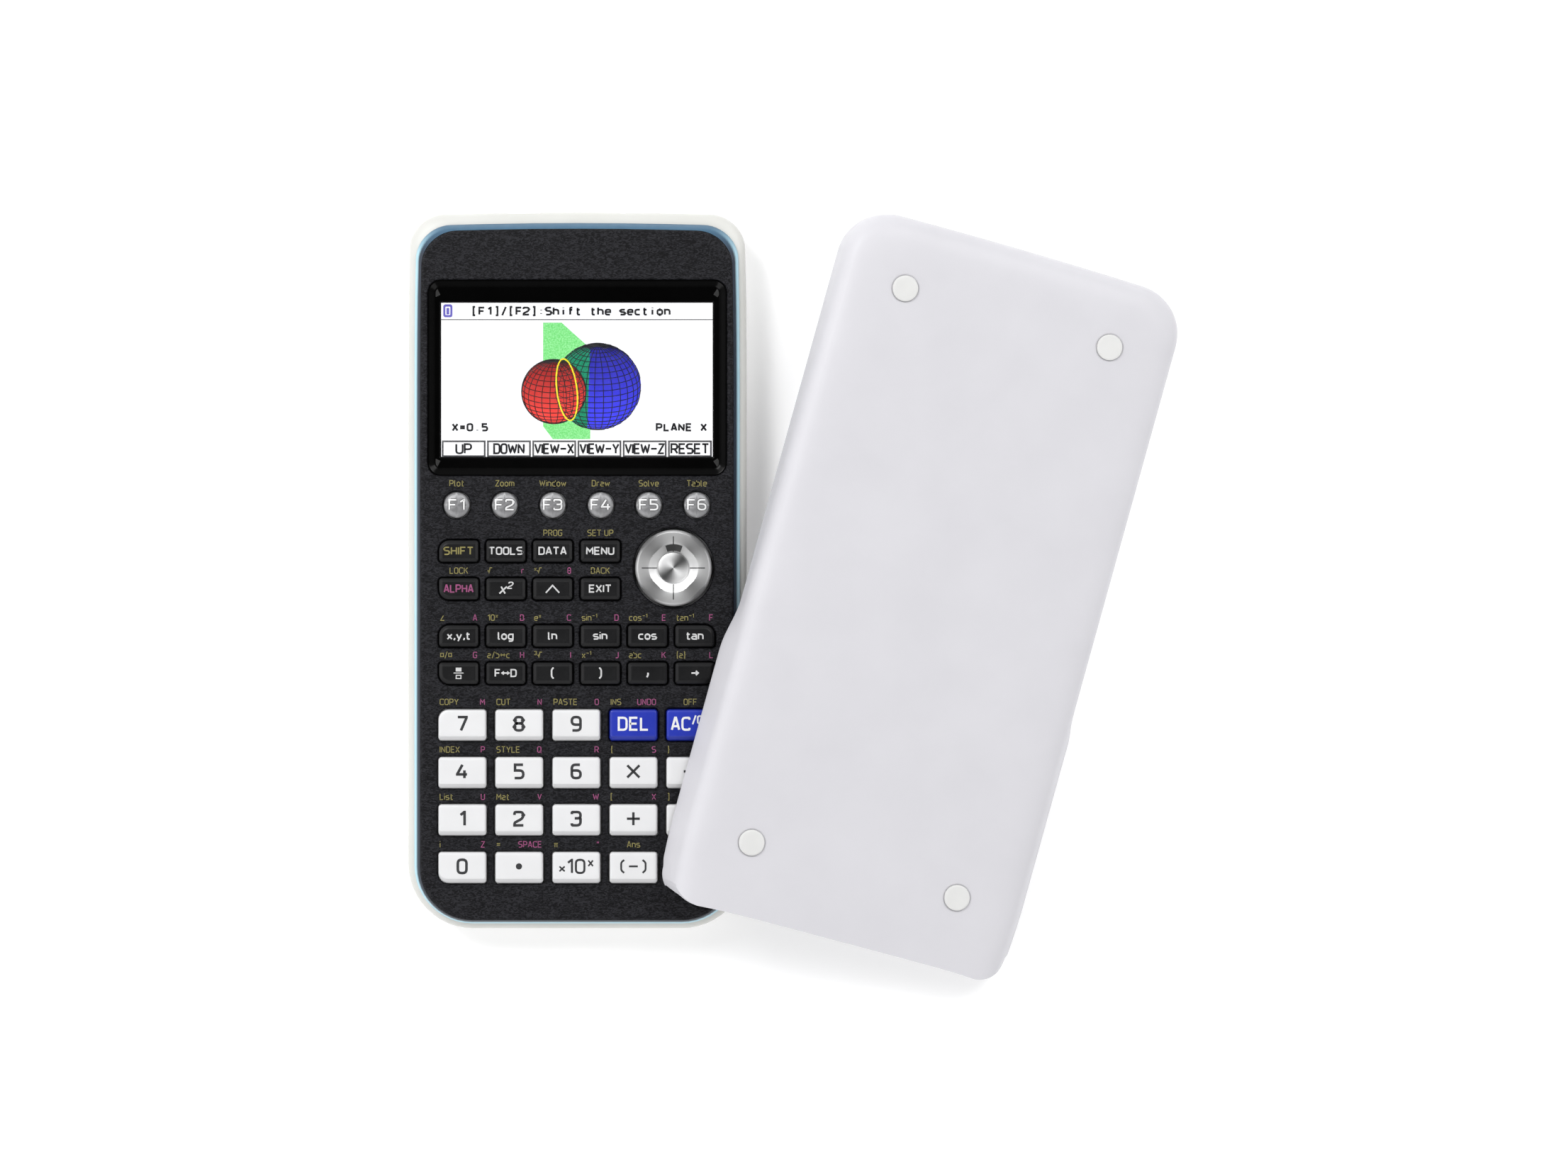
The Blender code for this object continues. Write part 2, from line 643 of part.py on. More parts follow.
def cover_loop(z, inset):
    """One level of the cover: round corners at the closed end, run on past the mouth."""
    half = COVER_HALF_WIDTH
    high = COVER_LENGTH / 2
    radius = COVER_CORNER_RADIUS
    side = [(half, y) for y in COVER_SIDE_STOPS]
    corner = []
    for step in range(CORNER_STEPS + 1):
        angle = step * pi / 2 / CORNER_STEPS
        corner.append((half - radius + radius * cos(angle), high - radius + radius * sin(angle)))
    right = side + corner
    points = right + [(-x, y) for x, y in reversed(right)]
    loop = []
    for x, y in points:
        scale_x = (half - inset + flare_at(y, z) - draw_in(max(y, -high))) / half
        if y > 0:
            y = y * (high - inset) / high - COVER_CROWN * (y / high) ** 6 * (x / half) ** 2
        loop.append((x * scale_x, y, z))
    return loop


def mouth_outline(z):
    """Plan that trims the mouth at one level: round corners, drafted, then clear of the walls."""
    half = COVER_HALF_WIDTH + MOUTH_CLEAR - MOUTH_DRAFT * z
    low = -COVER_LENGTH / 2
    wide = COVER_HALF_WIDTH + COVER_FLARE + 1.0
    right = []
    for step in range(CORNER_STEPS + 1):
        angle = (step / CORNER_STEPS - 1.0) * pi / 2
        x = half - MOUTH_RADIUS + MOUTH_RADIUS * cos(angle)
        right.append((x, low + MOUTH_RADIUS * (1.0 + sin(angle))))
    right += [(wide, low + 2.0 * MOUTH_RADIUS), (wide, COVER_LENGTH)]
    points = right + [(-x, y) for x, y in reversed(right)]
    return [(x, y, z) for x, y in points]


def build_slide_cover(frame):
    """Hard cover: a tray that is open below and at its mouth, with a rail inside each long wall."""
    bm = bmesh.new()
    top = COVER_DEPTH
    loft(bm, [
        cover_loop(top, 7.6), cover_loop(top - 0.5, 4.4), cover_loop(top - 1.7, 2.0),
        cover_loop(top - 3.7, 0.6), cover_loop(top - 6.2, 0.0),
        cover_loop(FLARE_Z[0], 0.0), cover_loop(0.0, 0.0),
    ])
    geom = bm.verts[:] + bm.edges[:] + bm.faces[:]
    bmesh.ops.bisect_plane(
        bm, geom=geom, plane_co=(0.0, -COVER_LENGTH / 2 - MOUTH_OVERRUN, 0.0), plane_no=(0.0, -1.0, 0.0),
        clear_outer=True)
    shell = mesh_from(bm, "slide_cover")
    cover = add_part("slide_cover", shell, cover_white, (0.0, 0.0, 0.0), frame)
    add_solidify(cover, COVER_WALL)

    bm = bmesh.new()
    loft(bm, [mouth_outline(-2.0), mouth_outline(COVER_DEPTH + 2.0)], True)
    add_boolean(cover, "INTERSECT", add_cutter("mouth_trim", bm, frame))

    bm = bmesh.new()
    outer = COVER_HALF_WIDTH - COVER_WALL / 2
    box(bm, (RAIL_INNER_X, outer), RAIL_Y, RAIL_Z)
    box(bm, (-outer, -RAIL_INNER_X), RAIL_Y, RAIL_Z)
    add_boolean(cover, "UNION", add_cutter("cover_rails", bm, frame))

    bm = bmesh.new()
    pocket = (COVER_DEPTH - FOOT_POCKET_DEPTH, COVER_DEPTH + 1.0)
    for x, y in FOOT_PLACES:
        cylinder(bm, (x + FOOT_OFFSET[0], y + FOOT_OFFSET[1]), FOOT_POCKET_RADIUS, pocket, 20)
    add_boolean(cover, "DIFFERENCE", add_cutter("foot_pockets", bm, frame))


def build_cover_feet(frame):
    """Four round feet, each in its own pocket in the cover's outer face."""
    floor = COVER_DEPTH - FOOT_POCKET_DEPTH + 0.3
    bm = bmesh.new()
    cylinder(bm, (0.0, 0.0), FOOT_RADIUS, (0.0, COVER_DEPTH + FOOT_PROUD - floor), 20)
    top = COVER_DEPTH + FOOT_PROUD - floor
    rim = [e for e in bm.edges if all(abs(v.co.z - top) < 1e-6 for v in e.verts)]
    bmesh.ops.bevel(bm, geom=rim, offset=0.3, segments=1, profile=0.5, affect="EDGES")
    mesh = mesh_from(bm, "cover_foot")
    for index, (x, y) in enumerate(FOOT_PLACES):
        place = (x + FOOT_OFFSET[0], y + FOOT_OFFSET[1], floor)
        add_part("cover_foot_%d" % (index + 1), mesh, foot_ivory, place, frame)


# ------------------------------------------------------------------ scene

for old in list(bpy.data.objects):
    bpy.data.objects.remove(old)

parts = make_collection(COLLECTION)
cutters = make_collection("cutters")

white_case = make_material("white_case", (0.80, 0.81, 0.82), 0.45)
black_face = make_material("black_face", (0.025, 0.025, 0.028), 0.5)
black_key = make_material("black_key", (0.012, 0.012, 0.014), 0.3)
white_key = make_material("white_key", (0.72, 0.72, 0.76), 0.35)
blue_key = make_material("blue_key", (0.035, 0.055, 0.58), 0.35)
silver = make_material("silver", (0.62, 0.62, 0.63), 0.3, 0.9)
clear_window = make_material("clear_window", (0.02, 0.02, 0.025), 0.05)
display = make_material("display", (0.85, 0.86, 0.9), 0.3)
board_green = make_material("board_green", (0.02, 0.16, 0.06), 0.4)
mat_grey = make_material("mat_grey", (0.35, 0.35, 0.36), 0.7)
cell_wrap = make_material("cell_wrap", (0.08, 0.09, 0.12), 0.35, 0.3)
cover_white = make_material("cover_white", (0.70, 0.70, 0.75), 0.45)
foot_ivory = make_material("foot_ivory", (0.78, 0.76, 0.70), 0.6)

build_rear_case()
build_front_panel()
build_screen()
build_keys()
build_cursor_pad()
build_main_board()
build_key_mat()
build_batteries()
build_battery_cover()
cover_empty = cover_frame()
build_slide_cover(cover_empty)
build_cover_feet(cover_empty)
bpy.context.view_layer.update()
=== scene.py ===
"""Looks of the graphing calculator and its slide-on cover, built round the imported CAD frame.

Lengths are in millimetres until a mesh is made, unless a comment says metres. The keys, the pad, the
lens, the battery bay and the cells take their places from the frame's boxes, and the rest uses the
sizes named below.
"""

from math import asin, atan2, cos, hypot, pi, radians, sin

import bmesh
import bpy
from mathutils import Matrix, Vector
from mathutils.bvhtree import BVHTree


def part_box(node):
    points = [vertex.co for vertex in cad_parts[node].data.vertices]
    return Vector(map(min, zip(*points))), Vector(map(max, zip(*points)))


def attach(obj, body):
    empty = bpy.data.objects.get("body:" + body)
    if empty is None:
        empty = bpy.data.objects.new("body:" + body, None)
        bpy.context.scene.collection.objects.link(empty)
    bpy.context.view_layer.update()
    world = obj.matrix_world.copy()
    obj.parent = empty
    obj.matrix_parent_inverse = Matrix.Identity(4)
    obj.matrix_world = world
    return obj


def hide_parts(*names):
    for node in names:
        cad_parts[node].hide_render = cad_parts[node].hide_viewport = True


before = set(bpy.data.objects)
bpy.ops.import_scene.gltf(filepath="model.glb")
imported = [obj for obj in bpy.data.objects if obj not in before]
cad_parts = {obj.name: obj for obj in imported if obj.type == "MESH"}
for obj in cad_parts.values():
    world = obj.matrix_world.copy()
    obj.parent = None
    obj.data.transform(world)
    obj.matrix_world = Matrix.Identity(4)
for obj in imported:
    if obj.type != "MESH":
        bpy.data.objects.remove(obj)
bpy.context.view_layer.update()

MM = 0.001
CALCULATOR = "calculator"

# Casing, with its middle at x = y = 0; insets are given as (sides, top end, bottom end)
CASE_WIDTH = 89.1
CASE_LENGTH = 188.5
WALL = 1.6
TOP_CORNER_RADIUS = 9.0
BOTTOM_CORNER_RADIUS = 17.0
SIDE_BOW = 0.7
TOP_CROWN = 0.8
RIM_Z = 13.6
RIM_INSET = (2.2, 3.9, 1.8)
TRIM_OUTER = (1.75, 2.9, 1.4)
TRIM_INNER = (3.35, 4.55, 2.35)
PANEL_GAP = 0.05
PANEL_BASE_Z = 13.9
FACE_Z = 16.6
PLATE = 1.4
CUT_START_Z = 13.0
CHAMFER = 0.3
GROOVE_Z = (9.8, 11.5)
GROOVE_DEPTH = 0.8
GROOVE_Y = (-70.0, 78.0)
BAY_GAP = 0.3
BAY_WALL = 1.4
INNER_TOP_Z = 11.8
CUT_PAST = 1.0

# Screws and sockets
BOSSES = ((-37.0, 82.0), (37.0, 82.0), (-37.0, 20.0), (37.0, 20.0), (-33.0, -80.0), (33.0, -80.0))
BOSS_RADIUS = 2.6
SCREW_WELL = (1.9, 3.0)
SCREW_HEAD = ((1.7, 1.6), (1.7, 0.9), (1.45, 0.6), (1.15, 0.5))
CROSS_HALF_WIDTH = 0.18
CROSS_Z = (0.3, 1.0)
DATA_X = -14.0
DATA_Z = 10.0
DATA_WINDOW = (4.3, 2.1)
DATA_SHELL = (3.85, 1.75)
DATA_SHELL_WALL = 0.4
DATA_SHELL_Y = (89.9, 93.2)
JACK_X = 12.0
JACK_Z = 9.3
JACK_HOLE_RADIUS = 2.6
JACK_COLLAR_Y = 93.3
SOCKET_CUT_Y = (88.0, 98.0)

# Screen: SCREEN is the opening in the CAD panel, which LIP_REACH widens, and VIEW the lit picture
SCREEN_X = (-38.4, 38.6)
SCREEN_Y = (25.6, 75.5)
LIP_REACH = 1.1
BEZEL_GAP = 0.32
BEZEL_RADIUS = 3.4
VIEW_X = (-35.7, 35.65)
VIEW_Y = (29.85, 70.3)
VIEW_WIDTH_MM = VIEW_X[1] - VIEW_X[0]
PICTURE_Z = 14.42

# Cursor pad
PAD_HOLE_RADIUS = 10.6
PAD_DISH_RADIUS = 6.3
PAD_HUB_RADIUS = 4.05
PAD_DISH_DEPTH = 1.2

# Keys
FLANGE_LIP = 0.5
HOLE_GAP = 0.3
EDGE_RADIUS = 0.85
END_RADIUS = 2.7
LARGE_HALF_LENGTH = 3.5
CORNER_SIGNS = ((1, -1), (1, 1), (-1, 1), (-1, -1))
ROUNDER_CORNER = {
    "shift": (-1, 1), "alpha": (-1, -1), "variable_x": (-1, 1), "fraction": (-1, -1),
    "tan": (1, 1), "store": (1, -1), "7": (-1, 1), "0": (-1, -1),
    "clear_on": (1, 1), "execute": (1, -1),
}

# Battery cells
CELL_PITCH = 10.4
CELL_PIP = 0.8

# Cover, in its own frame: rim plane at z = 0, mouth towards -Y
COVER_HALF_WIDTH = 46.65
COVER_LENGTH = 188.2
COVER_DEPTH = 12.0
COVER_WALL = 1.8
COVER_CORNER_RADIUS = 12.8
COVER_CROWN = 0.7
COVER_FLARE = 2.0
FLARE_Z = (1.2, 7.0)
FLARE_START_Y = -14.0
FLARE_END_Y = -28.0
MOUTH_RADIUS = 7.0
MOUTH_CLEAR = 0.95
MOUTH_DRAFT = 0.2
MOUTH_TRIM = 0.02
MOUTH_OVERRUN = 3.0
MOUTH_DRAW_START_Y = -74.0
MOUTH_DRAW = 1.3
MOUTH_DISH = 0.5
RAIL_INNER_X = 44.1
RAIL_Z = (1.0, 2.5)
RAIL_Y = (-85.0, 74.0)
COVER_CENTRE = (91.0, -6.2)
COVER_HEADING = radians(-15.5)
WALL_FOOT_Z = 18.7
COVER_ROLL = asin(WALL_FOOT_Z / (2.0 * (COVER_HALF_WIDTH + COVER_FLARE) - COVER_WALL))
FOOT_PLACES = ((-29.0, 75.45), (28.0, 75.45), (-29.0, -74.55), (28.0, -74.55))
FOOT_RADIUS = 3.4
FOOT_POCKET_RADIUS = 3.95
FOOT_POCKET_DEPTH = 0.8
FOOT_PROUD = 0.6

# The view: straight down, on the middle of the photographed area
VIEW_CENTRE = (54.4, -4.65)
VIEW_WIDTH = 411.6
CAMERA_HEIGHT = 1600.0
CAMERA_REACH = 10.0
SENSOR = 36.0

# Stage: the floor's half extent, its glow and its drop in metres, and the sky, whose strength is
# level + lean . direction
FLOOR_HALF = 900.0
FLOOR_GLOW = 0.22
FLOOR_DROP = 0.0002
SKY_LEAN = (-0.08, 0.12, -1.1)
SKY_LEVEL = 1.13
SKY_LEAST = 0.04
SKY_COLOUR = (0.98, 0.985, 1.0, 1.0)

# Softboxes: name, azimuth (0 is +X, 90 is +Y), elevation, distance and size in metres, and watts
SOFTBOXES = (
    ("corner_light_1", 135.0, 48.0, 1.3, (0.55, 0.55), 10.0),
    ("corner_light_2", 45.0, 48.0, 1.3, (0.55, 0.55), 6.5),
    ("corner_light_3", 225.0, 48.0, 1.6, (0.7, 0.7), 6.5),
    ("corner_light_4", 315.0, 48.0, 1.6, (0.7, 0.7), 4.0),
    ("side_light_left", 180.0, 22.0, 1.6, (1.4, 0.5), 3.0),
    ("side_light_right", 0.0, 22.0, 1.6, (1.4, 0.5), 3.5),
    ("side_light_low", 270.0, 22.0, 1.6, (1.4, 0.5), 2.0),
)

# Sockets of the colour Mix node, by number because its names repeat
MIX_FACTOR, MIX_A, MIX_B, MIX_RESULT = 0, 6, 7, 2


# ------------------------------------------------------------------ materials

class Nodes:
    """Short hand for building the nodes of a material or a world."""

    def __init__(self, owner, shader="Principled BSDF"):
        owner.use_nodes = True
        self.owner = owner
        self.tree = owner.node_tree
        self.shader = self.tree.nodes[shader]

    def feed(self, node, values):
        """Set a node's inputs, or link those whose value is another node's output."""
        for socket, value in values.items():
            if isinstance(value, bpy.types.NodeSocket):
                self.tree.links.new(value, node.inputs[socket])
            else:
                node.inputs[socket].default_value = value

    def surface(self, values):
        self.feed(self.shader, values)
        return self.owner

    def add(self, kind, values, **settings):
        node = self.tree.nodes.new(kind)
        for key, value in settings.items():
            setattr(node, key, value)
        self.feed(node, values)
        return node

    def place(self, axis=None):
        """Coordinates on the object, or one axis of them."""
        place = self.add("ShaderNodeTexCoord", {}).outputs["Object"]
        return self.add("ShaderNodeSeparateXYZ", {"Vector": place}).outputs[axis] if axis else place

    def noise(self, scale, detail=3.0, distortion=0.0, place=None):
        return self.add("ShaderNodeTexNoise", {
            "Vector": place or self.place(), "Scale": scale, "Detail": detail, "Distortion": distortion,
        }).outputs["Fac"]

    def maths(self, operation, *values):
        return self.add("ShaderNodeMath", dict(enumerate(values)), operation=operation).outputs["Value"]

    def share(self, value, start, end):
        """How far a value is on its way from start to end, from 0 to 1."""
        return self.add("ShaderNodeMapRange", {
            "Value": value, "From Min": start, "From Max": end}).outputs["Result"]

    def ramp(self, fac, low, high, start=0.3, end=0.7):
        node = self.add("ShaderNodeValToRGB", {"Fac": fac})
        for element, stop, colour in zip(node.color_ramp.elements, (start, end), (low, high)):
            element.position = stop
            element.color = (*colour, 1.0)
        return node.outputs["Color"]

    def bump(self, height, strength, distance, below=None):
        values = {"Strength": strength, "Distance": distance, "Height": height}
        if below:
            values["Normal"] = below
        return self.add("ShaderNodeBump", values).outputs["Normal"]

    def uneven(self, fac, low, high):
        """Roughness that follows a noise from low to high."""
        return self.add("ShaderNodeMapRange", {
            "Value": fac, "To Min": low, "To Max": high}).outputs["Result"]


def new_nodes(name):
    return Nodes(bpy.data.materials.new(name))


def grey(level):
    return (level, level, level)


def plastic(name, low, high, roughness, grain, depth, blotch=60.0, coat=0.0, shine=0.5):
    """Moulded plastic: cloudy colour, uneven gloss and a fine moulded grain."""
    n = new_nodes(name)
    return n.surface({
        "Base Color": n.ramp(n.noise(blotch, 4.0), low, high),
        "Roughness": n.uneven(n.noise(blotch * 9.0), *roughness),
        "Normal": n.bump(n.noise(grain, 4.0), 0.5, depth),
        "Specular IOR Level": shine, "Coat Weight": coat, "Coat Roughness": 0.12,
    })


def textured_face():
    """Charcoal face tooled all over with fine wavy dashes."""
    n = new_nodes("face_charcoal")
    stretch = n.add("ShaderNodeMapping", {"Vector": n.place(), "Scale": (0.55, 1.25, 1.0)})
    dashes = n.noise(1250.0, 1.0, 2.2, stretch.outputs["Vector"])
    tooling = n.bump(dashes, 0.5, 0.00012)
    return n.surface({
        "Base Color": n.ramp(dashes, (0.0008, 0.0008, 0.0016), (0.0155, 0.0155, 0.0185), 0.44, 0.60),
        "Roughness": n.uneven(n.noise(300.0), 0.5, 0.62),
        "Normal": n.bump(n.noise(3200.0, 2.0), 0.25, 0.00003, tooling),
        "Specular IOR Level": 0.15,
    })


def turned_finish(n, colour, roughness, metallic):
    """Fine turned grooves, so that highlights fan out from the middle."""
    tangent = n.add("ShaderNodeTangent", {}, direction_type="RADIAL", axis="Z")
    return n.surface({
        "Base Color": colour,
        "Roughness": n.uneven(n.noise(1400.0, 2.0), roughness - 0.04, roughness + 0.05),
        "Tangent": tangent.outputs["Tangent"], "Anisotropic": 0.8, "Metallic": metallic,
    })


def brushed_metal(name, low, high, roughness, metallic=1.0):
    """Plated metal of one colour."""
    n = new_nodes(name)
    return turned_finish(n, n.ramp(n.noise(500.0, 2.0), low, high), roughness, metallic)


def fanned_metal(name, dark, light, lobes, phase, roughness, metallic=0.4):
    """Plated metal whose base colour is painted with highlights and shade that fan out in lobes round the
    upright axis.
    """
    n = new_nodes(name)
    angle = n.maths("ARCTAN2", n.place("Y"), n.place("X"))
    wave = n.maths("SINE", n.maths("MULTIPLY_ADD", angle, lobes, phase))
    painted_sheen = n.ramp(n.share(wave, -1.0, 1.0), grey(dark), grey(light), 0.0, 1.0)
    return turned_finish(n, painted_sheen, roughness, metallic)


def blue_trim():
    """Blue trim with painted light: a painted pale reflection along its foot, navy above, and a painted
    steel-blue highlight right across the top end.
    """
    n = new_nodes("trim_blue_painted_sheen")
    # Painted light: a pale reflection low on the band that fades to navy higher up, and a lighter steel-blue
    # highlight across the top end
    height = n.share(n.place("Z"), 14.9 * MM, 15.5 * MM)
    mix = n.add("ShaderNodeMix", {
        MIX_FACTOR: n.share(n.place("Y"), 83.0 * MM, 90.0 * MM),
        MIX_A: n.ramp(height, (0.34, 0.55, 0.64), (0.008, 0.016, 0.03), 0.0, 1.0),
        MIX_B: n.ramp(n.noise(400.0), (0.032, 0.098, 0.168), (0.04, 0.115, 0.19)),
    }, data_type="RGBA")
    return n.surface({
        "Base Color": mix.outputs[MIX_RESULT],
        "Roughness": n.uneven(n.noise(500.0), 0.3, 0.38),
        "Normal": n.bump(n.noise(900.0), 0.15, 0.000003),
    })


def clear_lens():
    n = new_nodes("lens_clear")
    return n.surface({
        "Base Color": n.ramp(n.noise(30.0), (0.97, 0.98, 1.0), grey(1.0)),
        "Roughness": n.uneven(n.noise(80.0), 0.0, 0.03),
        "Transmission Weight": 1.0, "IOR": 1.45,
    })


def glowing(n, colour, strength=1.0, roughness=0.5):
    """Finish of one element of the lit display."""
    return n.surface({
        "Emission Color": colour, "Emission Strength": strength,
        "Base Color": (0.01, 0.01, 0.01, 1.0), "Roughness": roughness,
    })


def lit(name, low, high, strength=1.0, scale=40.0):
    """Display colour whose brightness varies a little, like a backlight."""
    n = new_nodes(name)
    return glowing(n, n.ramp(n.noise(scale, 1.0), low, high), strength, 0.4)


def lit_ball(name, dark, light, centre_y, radius):
    """Display colour shaded from dark at a ball's top to light at its foot."""
    n = new_nodes(name)
    height = n.share(n.place("Y"), (centre_y + radius) * MM, (centre_y - radius) * MM)
    return glowing(n, n.ramp(height, dark, light, 0.0, 1.0))


def printed(name, colour, worn):
    """Screen-printed ink, a little uneven."""
    return plastic(name, worn, colour, (0.4, 0.55), 2500.0, 0.000008, 700.0)


CASE_WHITE = plastic("case_white", (0.535, 0.535, 0.505), (0.56, 0.56, 0.535), (0.36, 0.48), 2200.0,
                     0.00002)
COVER_WHITE = plastic("cover_white", (0.505, 0.499, 0.524), (0.525, 0.519, 0.544), (0.42, 0.52), 2000.0,
                      0.00003, shine=0.4)
TRIM_BLUE = blue_trim()
FACE = textured_face()
KEY_BLACK = plastic("key_black", (0.003, 0.003, 0.0035), (0.006, 0.006, 0.0065), (0.34, 0.44), 3000.0,
                    0.000012, 180.0, shine=0.25)
KEY_WHITE = plastic("key_white", (0.585, 0.585, 0.59), (0.61, 0.61, 0.615), (0.34, 0.44), 3000.0, 0.00001,
                    120.0)
KEY_BLUE = plastic("key_blue", (0.009, 0.022, 0.29), (0.013, 0.028, 0.34), (0.3, 0.4), 3000.0, 0.00001,
                   120.0)
KEY_SILVER = brushed_metal("key_silver", (0.19, 0.19, 0.195), (0.25, 0.25, 0.255), 0.4, 0.45)
# Painted highlights and shade: the pad's three finishes grow lighter and darker in lobes round the pad's
# axis
PAD_RIM = fanned_metal("pad_rim", 0.15, 0.42, 4.0, pi / 2, 0.36)
PAD_DISH = fanned_metal("pad_dish", 0.20, 0.78, 1.0, pi, 0.34, 0.3)
PAD_HUB = fanned_metal("pad_hub", 0.06, 0.72, 2.0, pi, 0.32)
STEEL = brushed_metal("steel", (0.50, 0.50, 0.51), (0.62, 0.62, 0.63), 0.3)
BEZEL = plastic("bezel_black", grey(0.0005), grey(0.001), (0.16, 0.24), 1200.0, 0.000004, 50.0, shine=0.09)
# Lighter grey for the painted highlights on the bezel's corners
BEZEL_CORNER_HIGHLIGHT = plastic("bezel_corner_highlight", (0.010, 0.010, 0.0098), (0.032, 0.032, 0.031), (0.3, 0.4), 1200.0,
                       0.000004)
LENS = clear_lens()
RUBBER = plastic("foot_rubber", (0.555, 0.555, 0.545), (0.58, 0.58, 0.57), (0.5, 0.65), 2600.0, 0.00002,
                 200.0)
SILICONE = plastic("silicone", (0.20, 0.20, 0.21), (0.26, 0.26, 0.27), (0.55, 0.7), 2000.0, 0.00003)
BOARD = plastic("board_green", (0.01, 0.10, 0.03), (0.02, 0.16, 0.05), (0.3, 0.4), 1500.0, 0.00002, 300.0)
CELL = plastic("cell_sleeve", (0.05, 0.06, 0.09), (0.09, 0.10, 0.14), (0.25, 0.35), 1800.0, 0.00001, 100.0,
               coat=0.3)
SOCKET_BLACK = plastic("socket_black", grey(0.01), grey(0.02), (0.4, 0.5), 2400.0, 0.00002)
INK_WHITE = printed("ink_white", grey(0.66), grey(0.58))
INK_SOFT = printed("ink_soft", grey(0.50), grey(0.42))
INK_DARK = printed("ink_dark", (0.016, 0.016, 0.018), (0.022, 0.022, 0.024))
KEY_SHADOW = printed("key_shadow", grey(0.06), grey(0.09))
# Black of the pad's thin lines and of its painted dark reflection
PAD_LINES_AND_PAINTED_REFLECTION = printed("ink_black", grey(0.006), grey(0.012))
INK_GOLD = printed("ink_gold", (0.205, 0.178, 0.054), (0.15, 0.13, 0.04))
INK_PINK = printed("ink_pink", (0.26, 0.052, 0.15), (0.18, 0.038, 0.105))
SCREEN_WHITE = lit("screen_white", (0.98, 0.98, 1.0), grey(1.0), 1.12)
SCREEN_BLACK = lit("screen_black", (0.004, 0.004, 0.006), (0.010, 0.010, 0.012))
SCREEN_GREY = lit("screen_grey", (0.045, 0.045, 0.05), (0.075, 0.075, 0.08))
SCREEN_GREEN = lit("screen_green", (0.17, 0.84, 0.19), (0.38, 0.99, 0.40), 1.0, 2500.0)
SCREEN_TEAL = lit("screen_teal", (0.0, 0.22, 0.10), (0.005, 0.36, 0.19), 1.0, 2500.0)
SCREEN_YELLOW = lit("screen_yellow", (1.0, 0.80, 0.01), (1.0, 0.90, 0.04))
SCREEN_VIOLET = lit("screen_violet", (0.13, 0.11, 0.52), (0.17, 0.15, 0.60))


# ------------------------------------------------------------------ mesh helpers

def finish_mesh(name, bm, material, sharp=35.0):
    """Make a shown piece from a bmesh drawn in millimetres."""
    bmesh.ops.scale(bm, vec=(MM, MM, MM), verts=bm.verts)
    bmesh.ops.recalc_face_normals(bm, faces=bm.faces)
    mesh = bpy.data.meshes.new(name)
    bm.to_mesh(mesh)
    bm.free()
    mesh.shade_smooth()
    mesh.set_sharp_from_angle(angle=radians(sharp))
    mesh.materials.append(material)
    piece = bpy.data.objects.new(name, mesh)
    bpy.context.scene.collection.objects.link(piece)
    return piece


def loft(bm, loops, cap_first=True, cap_last=False, close=False):
    """Skin closed loops of equal count; close joins the last loop to the first as a ring."""
    rings = [[bm.verts.new(point) for point in loop] for loop in loops]
    count = len(rings[0])
    if cap_first:
        bm.faces.new(rings[0])
    if cap_last:
        bm.faces.new(rings[-1])
    pairs = list(zip(rings, rings[1:]))
    if close:
        pairs.append((rings[-1], rings[0]))
    for lower, upper in pairs:
        for i in range(count):
            j = (i + 1) % count
            bm.faces.new((lower[i], lower[j], upper[j], upper[i]))


def evaluated_mesh(piece):
    """Replace a piece's mesh and modifiers by what the modifiers make."""
    bpy.context.view_layer.update()
    depsgraph = bpy.context.evaluated_depsgraph_get()
    mesh = bpy.data.meshes.new_from_object(piece.evaluated_get(depsgraph))
    piece.modifiers.clear()
    piece.data = mesh
    return piece


def boolean(piece, bm, operation="DIFFERENCE", matrix=None):
    """Cut a piece by, or join it to, the solids of a bmesh drawn in millimetres."""
    if matrix:
        bmesh.ops.transform(bm, matrix=matrix, verts=bm.verts)
    tool = finish_mesh("tool", bm, piece.data.materials[0])
    modifier = piece.modifiers.new("cut", "BOOLEAN")
    modifier.operation = operation
    modifier.solver = "EXACT"
    modifier.object = tool
    evaluated_mesh(piece)
    bpy.data.objects.remove(tool)
    piece.data.shade_smooth()
    piece.data.set_sharp_from_angle(angle=radians(32))


def solidify(piece, thickness):
    modifier = piece.modifiers.new("wall", "SOLIDIFY")
    modifier.thickness = thickness * MM
    modifier.offset = -1.0
    modifier.use_even_offset = True
    evaluated_mesh(piece)


def even_shading(piece):
    """Let the broad faces lead the shading, so that flats look flat up to their rolled edges."""
    modifier = piece.modifiers.new("even", "WEIGHTED_NORMAL")
    modifier.keep_sharp = True
    evaluated_mesh(piece)


def box(bm, x, y, z):
    centre = ((x[0] + x[1]) / 2, (y[0] + y[1]) / 2, (z[0] + z[1]) / 2)
    size = (x[1] - x[0], y[1] - y[0], z[1] - z[0])
    matrix = Matrix.Translation(centre) @ Matrix.Diagonal((*size, 1.0))
    return bmesh.ops.create_cube(bm, size=1.0, matrix=matrix)["verts"]


def cylinder(bm, centre, radius, z, matrix=None):
    """Solid cylinder along Z, or along the Z of a matrix that replaces its place."""
    matrix = matrix or Matrix.Translation((centre[0], centre[1], (z[0] + z[1]) / 2))
    bmesh.ops.create_cone(
        bm, cap_ends=True, segments=32, radius1=radius, radius2=radius, depth=z[1] - z[0], matrix=matrix)


def turned(bm, centre, profile, segments=40, close=False):
    """Lathe a profile of (radius, z) pairs about an upright axis."""
    loops = [[(x, y, z) for x, y in circle(centre, radius, segments)] for radius, z in profile]
    loft(bm, loops, not close, not close, close)


def circle(centre, radius, count=64, start=0.0, end=2 * pi):
    step = (end - start) / count
    return [(centre[0] + radius * cos(start + i * step), centre[1] + radius * sin(start + i * step))
            for i in range(count)]


